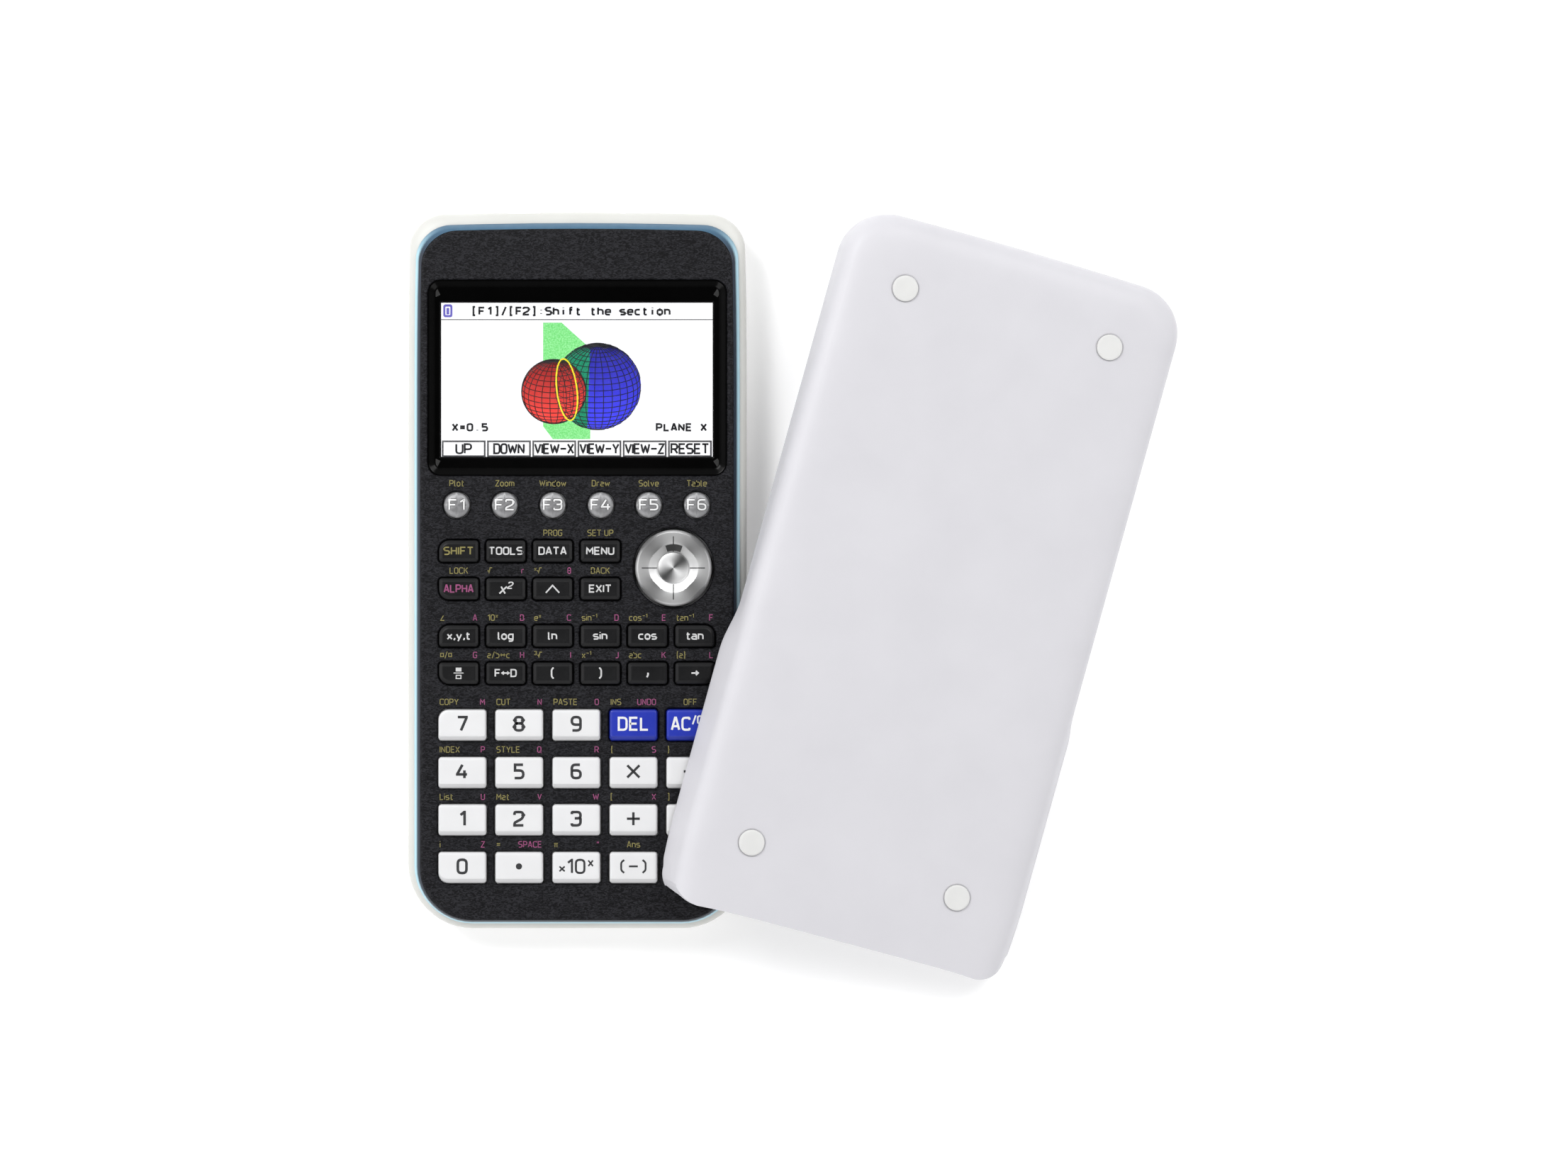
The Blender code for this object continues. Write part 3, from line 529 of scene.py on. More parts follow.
def rounded_loop(centre, half_x, half_y, radii, z, steps=6, low_cut=0.0):
    """Rounded rectangle; radii go in the order of CORNER_SIGNS. low_cut lifts its low edge."""
    points = []
    for index, (sx, sy) in enumerate(CORNER_SIGNS):
        radius = max(0.05, radii[index])
        start = (index - 1) * pi / 2
        for step in range(steps + 1):
            angle = start + step * pi / 2 / steps
            x = sx * (half_x - radius) + radius * cos(angle)
            y = sy * (half_y - radius) + radius * sin(angle)
            if y < 0:
                y += low_cut * (-y / half_y)
            points.append((centre[0] + x, centre[1] + y, z))
    return points


def rounded_stack(centre, half, rows, steps=6):
    """Loops of a rounded box, one for each row of (inset, corner radius, z)."""
    return [rounded_loop(centre, half[0] - inset, half[1] - inset, (radius,) * 4, z, steps)
            for inset, radius, z in rows]


def rounded_outline(centre, half_x, half_y, radius):
    return [(x, y) for x, y, _ in rounded_loop(centre, half_x, half_y, (radius,) * 4, 0.0)]


def node_box(node):
    """Lowest and highest corners of a CAD node, in millimetres."""
    low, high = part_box(node)
    return Vector(low) / MM, Vector(high) / MM


def plan(low, high, extra=0.0):
    """Middle and half sizes, seen from above, of the box between two corners."""
    return (((low[0] + high[0]) / 2, (low[1] + high[1]) / 2),
            ((high[0] - low[0]) / 2 + extra, (high[1] - low[1]) / 2 + extra))


def casing_outline(insets, steps=12):
    """The casing's outline, set in: bowed sides, a crowned top end and wide lower corners."""
    side, top, bottom = insets
    half = CASE_WIDTH / 2 - side
    high = CASE_LENGTH / 2 - top
    low = -CASE_LENGTH / 2 + bottom
    r_top = TOP_CORNER_RADIUS
    r_bottom = BOTTOM_CORNER_RADIUS - side
    side_stops = [(half, stop) for stop in (-40.0, 0.0, 30.0, 50.0, 62.0, 72.0)]
    top_stops = [(stop, high) for stop in (24.0, 12.0, 0.0, -12.0, -24.0)]
    corners = (
        (half - r_bottom, low + r_bottom, r_bottom, side_stops),
        (half - r_top, high - r_top, r_top, top_stops),
        (-half + r_top, high - r_top, r_top, [(-x, y) for x, y in reversed(side_stops)]),
        (-half + r_bottom, low + r_bottom, r_bottom, []),
    )
    points = []
    for index, (x, y, radius, stops) in enumerate(corners):
        for step in range(steps + 1):
            angle = (index - 1) * pi / 2 + step * pi / 2 / steps
            points.append((x + radius * cos(angle), y + radius * sin(angle)))
        points += stops
    bowed = []
    for x, y in points:
        towards_top = max(0.0, y / high) ** 6
        bowed.append((x - (x / half) * SIDE_BOW * towards_top,
                      y - TOP_CROWN * towards_top * (x / half) ** 2))
    return bowed


def casing_loop(z, insets):
    return [(x, y, z) for x, y in casing_outline(insets)]


def between(a, b, t):
    return tuple(p + (q - p) * t for p, q in zip(a, b))


# ------------------------------------------------------------------ casing pieces

def build_rear_case():
    """White shell: rolled rim, battery tray, screw bosses, windows for the sockets and side grooves."""
    flank = ((0.0, 4.2), (0.15, 3.2), (0.6, 2.0), (1.2, 1.15), (2.0, 0.6), (3.0, 0.2), (4.2, 0.0),
             (8.0, 0.0), (11.4, 0.0))
    rim = ((0.08, 12.1), (0.25, 12.7), (0.5, 13.15), (0.78, 13.45), (1.0, RIM_Z))
    loops = [casing_loop(z, (inset,) * 3) for z, inset in flank]
    loops += [casing_loop(z, between((0, 0, 0), RIM_INSET, t)) for t, z in rim]
    bm = bmesh.new()
    loft(bm, loops)
    case = finish_mesh("casing_lower", bm, CASE_WHITE)
    solidify(case, WALL)

    low, high = node_box("battery_cover")
    bay_x = (-high.x - BAY_GAP, high.x + BAY_GAP)
    bay_y = (low.y - BAY_GAP, high.y + BAY_GAP)
    inside = (WALL / 2, INNER_TOP_Z)
    bm = bmesh.new()
    box(bm, (bay_x[0] - BAY_WALL, bay_x[1] + BAY_WALL), (bay_y[0] - BAY_WALL, bay_y[1] + BAY_WALL), inside)
    boolean(case, bm, "UNION")
    bm = bmesh.new()
    for place in BOSSES:
        cylinder(bm, place, BOSS_RADIUS, inside)
    boolean(case, bm, "UNION")
    bm = bmesh.new()
    box(bm, bay_x, bay_y, (-CUT_PAST, INNER_TOP_Z + CUT_PAST))
    for place in BOSSES:
        cylinder(bm, place, SCREW_WELL[0], (-CUT_PAST, SCREW_WELL[1]))
    boolean(case, bm)

    bm = bmesh.new()
    edge = CASE_WIDTH / 2
    box(bm, (edge - GROOVE_DEPTH, edge + CUT_PAST), GROOVE_Y, GROOVE_Z)
    box(bm, (-edge - CUT_PAST, -edge + GROOVE_DEPTH), GROOVE_Y, GROOVE_Z)
    window = rounded_outline((DATA_X, DATA_Z), *DATA_WINDOW, 0.6)
    loft(bm, [[(x, y, z) for x, z in window] for y in SOCKET_CUT_Y], True, True)
    middle = (JACK_X, sum(SOCKET_CUT_Y) / 2, JACK_Z)
    across = Matrix.Translation(middle) @ Matrix.Rotation(pi / 2, 4, "X")
    cylinder(bm, None, JACK_HOLE_RADIUS, SOCKET_CUT_Y, across)
    boolean(case, bm)
    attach(case, CALCULATOR)
    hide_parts("rear_case")


def build_trim():
    """Blue band that rises from the pale rim and rolls over towards the black face."""
    profile = [(0.0, 13.42), (0.02, 13.9), (0.16, 14.45), (0.34, 14.95), (0.55, 15.4), (0.78, 15.8),
               (1.0, 16.1), (1.0, 13.85)]
    loops = [casing_loop(z, between(TRIM_OUTER, TRIM_INNER, t)) for t, z in profile]
    bm = bmesh.new()
    loft(bm, loops, False, False, True)
    trim = finish_mesh("trim_line", bm, TRIM_BLUE)
    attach(trim, CALCULATOR)


def key_nodes():
    return sorted(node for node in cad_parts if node.startswith("key_") and node != "key_mat")


def key_shape(node):
    """Middle, half sizes without the flange, foot and top heights, kind and corner radii of a key."""
    low, high = node_box(node)
    centre, (half_x, half_y) = plan(low, high, -FLANGE_LIP)
    if abs(half_x - half_y) < 0.2:
        return centre, half_x, half_y, low.z, high.z, "round", (half_x,) * 4
    kind = "large" if half_y > LARGE_HALF_LENGTH else "small"
    rounder = ROUNDER_CORNER.get(node[len("key_"):])
    radii = tuple(END_RADIUS if sign == rounder else EDGE_RADIUS for sign in CORNER_SIGNS)
    return centre, half_x, half_y, low.z, high.z, kind, radii


def grown(shape, extra, z, low_cut=0.0):
    """Outline of a key, grown by extra."""
    centre, half_x, half_y, _, _, kind, radii = shape
    return rounded_loop(centre, half_x + extra, half_y + extra, tuple(r + extra for r in radii), z,
                        9 if kind == "round" else 6, low_cut)


def build_front_panel():
    """Textured face plate; each opening has a small chamfer round its top edge."""
    def panel_loop(z, extra):
        return casing_loop(z, tuple(inset + PANEL_GAP + extra for inset in TRIM_INNER))

    edge = ((0.0, 0.75), (0.03, 0.45), (0.12, 0.2), (0.3, 0.05), (0.6, 0.0))
    loops = [panel_loop(FACE_Z - drop, inset) for drop, inset in edge]
    bm = bmesh.new()
    loft(bm, loops + [panel_loop(PANEL_BASE_Z, 0.0)], True, True)
    panel = finish_mesh("face_panel", bm, FACE)
    bm = bmesh.new()
    loft(bm, [panel_loop(z, PLATE) for z in (FACE_Z - PLATE, PANEL_BASE_Z - CUT_PAST)], True, True)
    boolean(panel, bm)

    past = FACE_Z + CUT_PAST
    bm = bmesh.new()
    for node in key_nodes():
        shape = key_shape(node)
        rows = ((0.0, CUT_START_Z), (0.0, FACE_Z - 0.22), (CHAMFER, FACE_Z + 0.08), (CHAMFER, past))
        loft(bm, [grown(shape, HOLE_GAP + extra, z) for extra, z in rows], True, True)
    centre, _ = plan(*node_box("cursor_pad"))
    wide = PAD_HOLE_RADIUS + CHAMFER
    turned(bm, centre, ((PAD_HOLE_RADIUS, CUT_START_Z), (PAD_HOLE_RADIUS, FACE_Z - 0.25),
                        (wide, FACE_Z + 0.05), (wide, past)), 72)
    middle, half = plan(*zip(SCREEN_X, SCREEN_Y), LIP_REACH)
    low_radius = BEZEL_RADIUS
    top_radius = BEZEL_RADIUS + CHAMFER
    loft(bm, rounded_stack(middle, half, (
        (CHAMFER, low_radius, CUT_START_Z), (CHAMFER, low_radius, FACE_Z - CHAMFER),
        (0.0, top_radius, FACE_Z + 0.05), (0.0, top_radius, past))), True, True)
    boolean(panel, bm)
    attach(panel, CALCULATOR)
    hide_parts("front_panel")


# ------------------------------------------------------------------ screen

def build_screen_glass():
    """Gloss black frame whose slopes meet in rounded mitres, with painted highlight strokes on the mitres,
    and the clear lens below it.
    """
    middle, half = plan(*zip(SCREEN_X, SCREEN_Y), LIP_REACH - BEZEL_GAP)
    view, view_half = plan(*zip(VIEW_X, VIEW_Y), 0.2)
    foot = 15.45
    slope = ((0.0, 16.35), (0.08, 16.48), (0.22, 16.5), (0.5, 16.38), (1.35, 15.85), (1.8, 15.66),
             (2.2, 15.6))
    loops = rounded_stack(middle, half, [(inset, BEZEL_RADIUS - inset, z) for inset, z in slope], 10)
    loops += rounded_stack(view, view_half, ((-0.35, 0.7, 15.6), (-0.1, 0.4, 15.55), (0.0, 0.3, foot)), 10)
    loops += rounded_stack(middle, half, ((0.0, BEZEL_RADIUS, foot),), 10)
    bm = bmesh.new()
    loft(bm, loops, False, False, True)
    bezel = finish_mesh("screen_bezel", bm, BEZEL, 50.0)
    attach(bezel, CALCULATOR)
    # Painted highlights: a lighter grey stroke from each outer corner of the frame towards the lens
    bm = bmesh.new()
    for sx in (-1, 1):
        for sy in (-1, 1):
            outer = Vector((middle[0] + sx * (half[0] - 2.0), middle[1] + sy * (half[1] - 2.7)))
            inner = Vector((view[0] + sx * (view_half[0] + 0.55), outer.y - sy * 1.5))
            ribbon(bm, [outer, outer.lerp(inner, 0.5), inner], 1.3, False, 0.015)
    words_piece("bezel_mitre_highlights", bm, 15.602, BEZEL_CORNER_HIGHLIGHT, CALCULATOR)

    low, high = node_box("display_window")
    bm = bmesh.new()
    loft(bm, rounded_stack(*plan(low, high), (
        (0.0, 1.2, low.z), (0.0, 1.2, high.z - 0.1), (0.1, 1.1, high.z))), True, True)
    lens = finish_mesh("screen_lens", bm, LENS)
    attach(lens, CALCULATOR)
    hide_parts("display_window")


def on_screen(u, v):
    """Point of the picture: u from its left, v from its top, both as fractions of its width."""
    return (VIEW_X[0] + u * VIEW_WIDTH_MM, VIEW_Y[1] - v * VIEW_WIDTH_MM)


def block(x, y):
    """Corners of an upright rectangle."""
    return [(x[0], y[0]), (x[1], y[0]), (x[1], y[1]), (x[0], y[1])]


def plate(name, outline, z, material, thickness=0.015):
    """Thin flat shape with a given outline."""
    bm = bmesh.new()
    loft(bm, [[(x, y, z) for x, y in outline], [(x, y, z + thickness) for x, y in outline]], True, True)
    piece = finish_mesh(name, bm, material)
    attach(piece, CALCULATOR)
    return piece


def lines(name, runs, width, z, material, cyclic=False):
    """Thin drawn lines as fine four-sided wires."""
    curve = bpy.data.curves.new(name, "CURVE")
    curve.dimensions = "3D"
    curve.bevel_depth = width / 2 * MM
    curve.bevel_resolution = 0
    curve.use_fill_caps = True
    for run in runs:
        spline = curve.splines.new("POLY")
        spline.points.add(len(run) - 1)
        for point, (x, y) in zip(spline.points, run):
            point.co = (x * MM, y * MM, z * MM, 1.0)
        spline.use_cyclic_u = cyclic
    wire = bpy.data.objects.new(name, curve)
    bpy.context.scene.collection.objects.link(wire)
    bpy.context.view_layer.update()
    mesh = bpy.data.meshes.new_from_object(wire.evaluated_get(bpy.context.evaluated_depsgraph_get()))
    bpy.data.objects.remove(wire)
    mesh.materials.clear()
    mesh.materials.append(material)
    piece = bpy.data.objects.new(name, mesh)
    bpy.context.scene.collection.objects.link(piece)
    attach(piece, CALCULATOR)
    return piece


def ball_grid(centre, radius, tilt, step_lon, step_lat):
    """Visible circles of longitude and latitude of a ball, drawn flat."""
    turn = Matrix.Rotation(tilt, 3, "X") @ Matrix.Rotation(radians(8.0), 3, "Y")
    runs = []

    def trace(points):
        run = []
        for point in points:
            seen = turn @ point
            spot = (centre[0] + radius * seen.x, centre[1] + radius * seen.y)
            if seen.z > 0.02:
                run.append(spot)
            else:
                if len(run) > 1:
                    runs.append(run)
                run = []
        if len(run) > 1:
            runs.append(run)

    def spot_at(lon, lat):
        return Vector((cos(lat) * sin(lon), sin(lat), cos(lat) * cos(lon)))

    for lon in range(-180, 180, step_lon):
        trace([spot_at(radians(lon), radians(lat)) for lat in range(-90, 91, 6)])
    for lat in range(-84, 85, step_lat):
        trace([spot_at(radians(lon), radians(lat)) for lon in range(-180, 181, 6)])
    return runs


def build_picture():
    """Graph on the display: a section plane between a large and a small ball."""
    z = PICTURE_Z
    width = VIEW_WIDTH_MM
    plate("screen_paper", block(VIEW_X, VIEW_Y), z, SCREEN_WHITE, 0.02)
    big, big_r = on_screen(0.576, 0.308), 0.160 * width
    small, small_r = on_screen(0.415, 0.327), 0.119 * width
    corners = ((0.3755, 0.455), (0.411, 0.502), (0.549, 0.502), (0.549, 0.168), (0.4435, 0.073),
               (0.3755, 0.073))
    plate("graph_plane", [on_screen(u, v) for u, v in corners], z + 0.03, SCREEN_GREEN)
    ball_blue = lit_ball("screen_blue", (0.002, 0.002, 0.30), (0.055, 0.058, 1.12), big[1], big_r)
    ball_red = lit_ball("screen_red", (0.28, 0.0, 0.0), (1.12, 0.065, 0.05), small[1], small_r)
    plate("graph_big_ball", circle(big, big_r, 72), z + 0.05, ball_blue)
    cut = (on_screen(0.549, 0.0)[0] - big[0]) / big_r
    turn = pi / 2 + asin(-cut)
    behind = circle(big, big_r - 0.02, 40, turn, 2 * pi - turn)
    plate("graph_big_ball_behind_plane", behind, z + 0.07, SCREEN_TEAL)
    tilt = radians(18.0)
    lines("graph_big_ball_lines", ball_grid(big, big_r, tilt, 12, 8), 0.22, z + 0.10, SCREEN_BLACK)
    plate("graph_small_ball", circle(small, small_r, 60), z + 0.12, ball_red)
    lines("graph_small_ball_lines", ball_grid(small, small_r, tilt, 15, 10), 0.21, z + 0.16, SCREEN_BLACK)
    lines("graph_outlines", [circle(small, small_r - 0.05, 48)], 0.3, z + 0.16, SCREEN_BLACK, True)
    middle = on_screen(0.463, 0.320)
    lean = atan2(38.0, 313.0)
    ellipse = []
    for x, y in circle((0.0, 0.0), 1.0, 56):
        a, b = x * 0.037 * width, y * 0.114 * width
        ellipse.append((middle[0] + a * cos(lean) - b * sin(lean),
                        middle[1] + a * sin(lean) + b * cos(lean)))
    lines("graph_section", [ellipse], 0.42, z + 0.20, SCREEN_YELLOW, True)
    build_screen_text(z)


def build_screen_text(z):
    """Status line, readings and the row of menu boxes."""
    rule_y = VIEW_Y[1] - 4.4
    plate("status_rule", block(VIEW_X, (rule_y - 0.12, rule_y + 0.1)), z + 0.03, SCREEN_GREY)
    bm = bmesh.new()
    for text, place, cap, align in (
            ("[F1]/[F2]:Shift the section", (0.105, 0.0305), 2.35, "LEFT"),
            ("X=0.5", (0.034, 0.4585), 2.2, "LEFT"), ("PLANE X", (0.984, 0.4585), 2.2, "RIGHT")):
        write(bm, text, on_screen(*place), cap, align, weight=0.5, pitch=1.56, stretch=1.25)
    words_piece("screen_words", bm, z + 0.03, SCREEN_BLACK, CALCULATOR)
    low, high = VIEW_Y[0] + 0.15, VIEW_Y[0] + 4.05
    pitch = VIEW_WIDTH_MM / 6
    frames = []
    bm = bmesh.new()
    for index, word in enumerate(("UP", "DOWN", "VIEW-X", "VIEW-Y", "VIEW-Z", "RESET")):
        left = VIEW_X[0] + index * pitch + 0.4
        right = left + pitch - 0.85
        frames.append(block((left, right), (low, high)))
        write(bm, word, ((left + right) / 2, (low + high) / 2), 2.9, "CENTER", weight=0.5, spacing=2.6,
              stretch=1.3, limit=min(right - left - 1.0, 1.95 * len(word)))
    words_piece("menu_words", bm, z + 0.03, SCREEN_BLACK, CALCULATOR)
    lines("menu_frames", frames, 0.65, z + 0.04, SCREEN_GREY, True)
    x, y = VIEW_X[0] + 1.75, VIEW_Y[1] - 2.1
    for name, place, half_x, half_y, radius, lift, material in (
            ("charge_icon", (x, y), 1.2, 1.7, 0.6, 0.03, SCREEN_VIOLET),
            ("charge_icon_field", (x, y), 0.65, 1.1, 0.2, 0.06, SCREEN_WHITE),
            ("charge_icon_bar", (x, y - 0.1), 0.36, 0.85, 0.1, 0.08, SCREEN_VIOLET)):
        plate(name, rounded_outline(place, half_x, half_y, radius), z + lift, material)


# ------------------------------------------------------------------ lettering

# Characters drawn with a pen on a grid where capitals are 10 high. Strokes are parted by |, a star
# closes a stroke, and r marks a point whose corner is round.
GLYPHS = {
    "0": "*0,0r 6,0r 6,10r 0,10r", "1": "0.6,7.8 3.2,10 3.4,10 3.4,0",
    "2": "0,7.8 0,10r 6,10r 6,5.4r 0,2r 0,0 6.2,0",
    "3": "0,8.4 0,10r 6,10r 6,5.3r 2,5.3|5,5.3 6,5.3r 6,0r 0,0r 0,1.6",
    "4": "3.6,10 0,3 0,2.8 6.8,2.8|5,5.8 5,0", "5": "5.8,10 0.3,10 0.3,5.7 6,5.7r 6,0r 0,0",
    "6": "5.6,10 0,10r 0,0r 6,0r 6,5.7r 0,5.7", "7": "0,10 6,10 6,9.4 2.2,0",
    "8": "*0.3,5.3r 5.7,5.3r 5.7,10r 0.3,10r|*0,0r 6,0r 6,5.3r 0,5.3r",
    "9": "0.4,0 6,0r 6,10r 0,10r 0,4.3r 6,4.3",
    "A": "0,0 2.7,10 3.5,10 6.2,0|1,3 5.2,3", "B": "*0,0 6,0r 6,5.2r 0,5.2|*0,5.2 5.6,5.2r 5.6,10r 0,10",
    "C": "6,8.4 6,10r 0,10r 0,0r 6,0r 6,1.6", "D": "*0,0 6,0r 6,10r 0,10",
    "E": "5.6,10 0,10 0,0 5.6,0|0,5.1 5,5.1",
    "F": "5.6,10 0,10 0,0|0,5 4.8,5", "G": "6,8.4 6,10r 0,10r 0,0r 6,0r 6,4.8 3.4,4.8",
    "H": "0,0 0,10|6,0 6,10|0,5.1 6,5.1", "I": "0,0 0,10", "J": "4.6,10 4.6,0r 0,0",
    "K": "0,0 0,10|6,10 0.6,4.8|2.2,6.2 6.2,0", "L": "0,10 0,0 5.4,0", "M": "0,0 0,10 3.6,4 7.2,10 7.2,0",
    "N": "0,0 0,10 6,0 6,10", "O": "*0,0r 6,0r 6,10r 0,10r", "P": "0,0 0,10 6,10r 6,4.4r 0,4.4",
    "Q": "*0,0r 6,0r 6,10r 0,10r|3.6,2.6 6.6,-1", "R": "0,0 0,10 6,10r 6,4.6r 0,4.6|3.2,4.6 6.2,0",
    "S": "5.8,10 0,10r 0,5.2r 6,5.2r 6,0r 0.2,0", "T": "0,10 6.4,10|3.2,10 3.2,0",
    "U": "0,10 0,0r 6,0r 6,10",
    "V": "0,10 3.1,0 6.2,10", "W": "0,10 2.3,0 4.6,8.6 6.9,0 9.2,10", "X": "0,0 6.2,10|0,10 6.2,0",
    "Y": "0,10 3.2,4.6 6.4,10|3.2,4.6 3.2,0", "Z": "0,10 6,10 0,0 6,0",
    "a": "0.4,7 5.2,7r 5.2,0|*0,0r 5.2,0 5.2,4r 0,4r", "b": "0,10 0,0|*0,0 5.4,0r 5.4,7r 0,7",
    "c": "5.2,7 0,7r 0,0r 5.2,0", "d": "5.4,10 5.4,0|*5.4,0 0,0r 0,7r 5.4,7",
    "e": "0,3.6 5.4,3.6 5.4,7r 0,7r 0,0r 5,0", "f": "3.8,10 1.2,10r 1.2,0|0,6.8 3.6,6.8",
    "g": "*5.4,0 0,0r 0,7r 5.4,7|5.4,7 5.4,-3r 0.4,-3", "h": "0,10 0,0|0,7 5.4,7r 5.4,0",
    "i": "0,0 0,7|0,9.3 0,10.2", "k": "0,10 0,0|4.8,7 0.4,3.2|1.8,4.4 5,0", "l": "0,10 0,0r 1.6,0",
    "m": "0,0 0,7 8,7r 8,0|4,7 4,0", "n": "0,0 0,7 5.4,7r 5.4,0", "o": "*0,0r 5.4,0r 5.4,7r 0,7r",
    "p": "0,-3 0,7|*0,0 5.4,0r 5.4,7r 0,7", "r": "0,0 0,7|0,5.6 1.2,7 3.8,7",
    "s": "5,7 0,7r 0,3.6r 5.2,3.6r 5.2,0r 0,0",
    "t": "1.3,9.6 1.3,0r 4,0|0,7 3.8,7", "u": "0,7 0,0r 5.4,0 5.4,7", "v": "0,7 2.7,0 5.4,7",
    "w": "0,7 1.9,0 3.9,6 5.9,0 7.8,7", "x": "0,0 5.2,7|0,7 5.2,0", "y": "0,7 2.8,0|5.6,7 1.6,-3",
    "+": "3.2,1.8 3.2,8.2|0,5 6.4,5", "-": "0,5 6.4,5", "×": "0,2 6,8|0,8 6,2",
    "÷": "0,5 6.4,5|3.2,7.6 3.2,8.7|3.2,1.3 3.2,2.4", "=": "0,6.5 5.8,6.5|0,3.5 5.8,3.5",
    "(": "2.2,11 0,8.8r 0,1.2r 2.2,-1", ")": "0,11 2.2,8.8r 2.2,1.2r 0,-1",
    "[": "2,11 0,11 0,-1 2,-1", "]": "0,11 2,11 2,-1 0,-1",
    "{": "2.6,11 1.2,11r 1.2,5.6r 0,5|0,5 1.2,4.4r 1.2,-1r 2.6,-1",
    "}": "0,11 1.4,11r 1.4,5.6r 2.6,5|2.6,5 1.4,4.4r 1.4,-1r 0,-1",
    ",": "0.9,1.6 0.9,0.2 0,-1.6", ".": "0,0 0,1.1", ":": "0,1 0,2|0,6 0,7", "/": "0,-1 4.2,11",
    "\"": "0,10 0,7|2.2,10 2.2,7",
    "→": "0,5 7.4,5|4.9,7.3 7.4,5 4.9,2.7", "↔": "0,5 8.4,5|2.3,7 0,5 2.3,3|6.1,7 8.4,5 6.1,3",
    "^": "0,2.6 4,6.8 8,2.6", "√": "0,4.2 1.2,5 2.6,0 4.2,10 8,10",
    "π": "0,6.8 7,6.8|2,6.8 1.6,0|5,6.8 5.4,0",
    "θ": "*0,0r 5,0r 5,10r 0,10r|0,5 5,5", "∠": "5,8.6 0,0 6.4,0", "□": "*0,2 5,2 5,8 0,8",
}
ROUND_CORNER = 2.7
RAISED_SCALE = 0.62
RAISED_LIFT = 5.2


def pen_strokes(character):
    """Strokes of one character, as (points with a round-corner mark, closed)."""
    strokes = []
    for text in GLYPHS[character].split("|"):
        points = []
        for word in text.strip("*").split():
            x, y = word.rstrip("r").split(",")
            points.append((Vector((float(x), float(y))), word.endswith("r")))
        strokes.append((points, text.startswith("*")))
    return strokes


def round_off(points, closed, steps=4):
    """Run of points in which each marked corner is a short curve."""
    run = []
    count = len(points)
    for index, (point, is_round) in enumerate(points):
        if not is_round or (not closed and index in (0, count - 1)):
            run.append(point)
            continue
        before = points[index - 1][0] - point
        after = points[(index + 1) % count][0] - point
        reach = min(ROUND_CORNER, before.length / 2, after.length / 2)
        start = point + before.normalized() * reach
        end = point + after.normalized() * reach
        for step in range(steps + 1):
            t = step / steps
            run.append(start * (1 - t) ** 2 + point * 2 * t * (1 - t) + end * t ** 2)
    return run


def divide(run, closed, longest):
    """Split a run's long stretches, so that it can follow a curved surface."""
    points = []
    pairs = list(zip(run, run[1:])) + ([(run[-1], run[0])] if closed else [])
    for start, end in pairs:
        pieces = max(1, round((end - start).length / longest))
        points += [start.lerp(end, i / pieces) for i in range(pieces)]
    return points if closed else points + [run[-1]]


def ribbon(bm, run, width, closed, thickness=0.02):
    """Flat band along a run, mitred at its corners, lying at z = 0."""
    count = len(run)
    rings = []
    for index, point in enumerate(run):
        before = (point - run[index - 1]) if closed or index else (run[1] - point)
        after = (run[(index + 1) % count] - point) if closed or index < count - 1 else before
        first = Vector((-before.y, before.x)).normalized()
        second = Vector((-after.y, after.x)).normalized()
        across = first + second
        across = across / max(0.6, across.length_squared / 2) if across.length > 0.2 else first
        left = point + across * width / 2
        right = point - across * width / 2
        rings.append([bm.verts.new((*spot, z)) for spot, z in (
            (left, 0.0), (right, 0.0), (right, thickness), (left, thickness))])
    pairs = list(zip(rings, rings[1:]))
    if closed:
        pairs.append((rings[-1], rings[0]))
    else:
        bm.faces.new(rings[0])
        bm.faces.new(rings[-1])
    for lower, upper in pairs:
        for i in range(4):
            j = (i + 1) % 4
            bm.faces.new((lower[i], lower[j], upper[j], upper[i]))


def write(bm, text, place, cap, align, weight=0.3, spacing=2.6, stretch=1.0, slant=0.0, limit=None,
          halo=0.0, pitch=None):
    """Draw text at z = 0; a tilde turns raised small characters on and off, an underscore low ones.

    pitch gives every character a cell of that width, and halo widens the strokes without moving them.
    """
    unit = (cap - weight) / 10
    pen = 0.0
    scale, lift = 1.0, 0.0
    drawn = []
    for character in text:
        if character in "~_":
            low_or_high = RAISED_LIFT if character == "~" else 0.0
            scale, lift = (1.0, 0.0) if scale < 1 else (RAISED_SCALE, low_or_high)
            continue
        if character == " ":
            pen += pitch / unit if pitch else 4.2
            continue
        strokes = pen_strokes(character)
        wide = max(point.x for points, _ in strokes for point, _ in points)
        shift = (pitch / unit - wide) / 2 if pitch else 0.0
        for points, closed in strokes:
            run = [Vector((pen + shift + (p.x + slant * p.y) * scale, p.y * scale + lift))
                   for p in round_off(points, closed)]
            drawn.append((run, closed, weight * (1.0 if scale == 1.0 else 0.75) + halo))
        pen += pitch / unit if pitch else (wide + spacing / stretch) * scale
    wide = (pen - (0.0 if pitch else spacing / stretch * scale)) * unit * stretch
    if limit and wide > limit:
        stretch *= limit / wide
        wide = limit
    start = {"LEFT": weight / 2, "CENTER": -wide / 2, "RIGHT": -wide - weight / 2}[align]
    for run, closed, thick in drawn:
        spots = [Vector((place[0] + start + p.x * unit * stretch, place[1] + (p.y - 5) * unit)) for p in run]
        ribbon(bm, divide(spots, closed, 0.6), thick, closed)


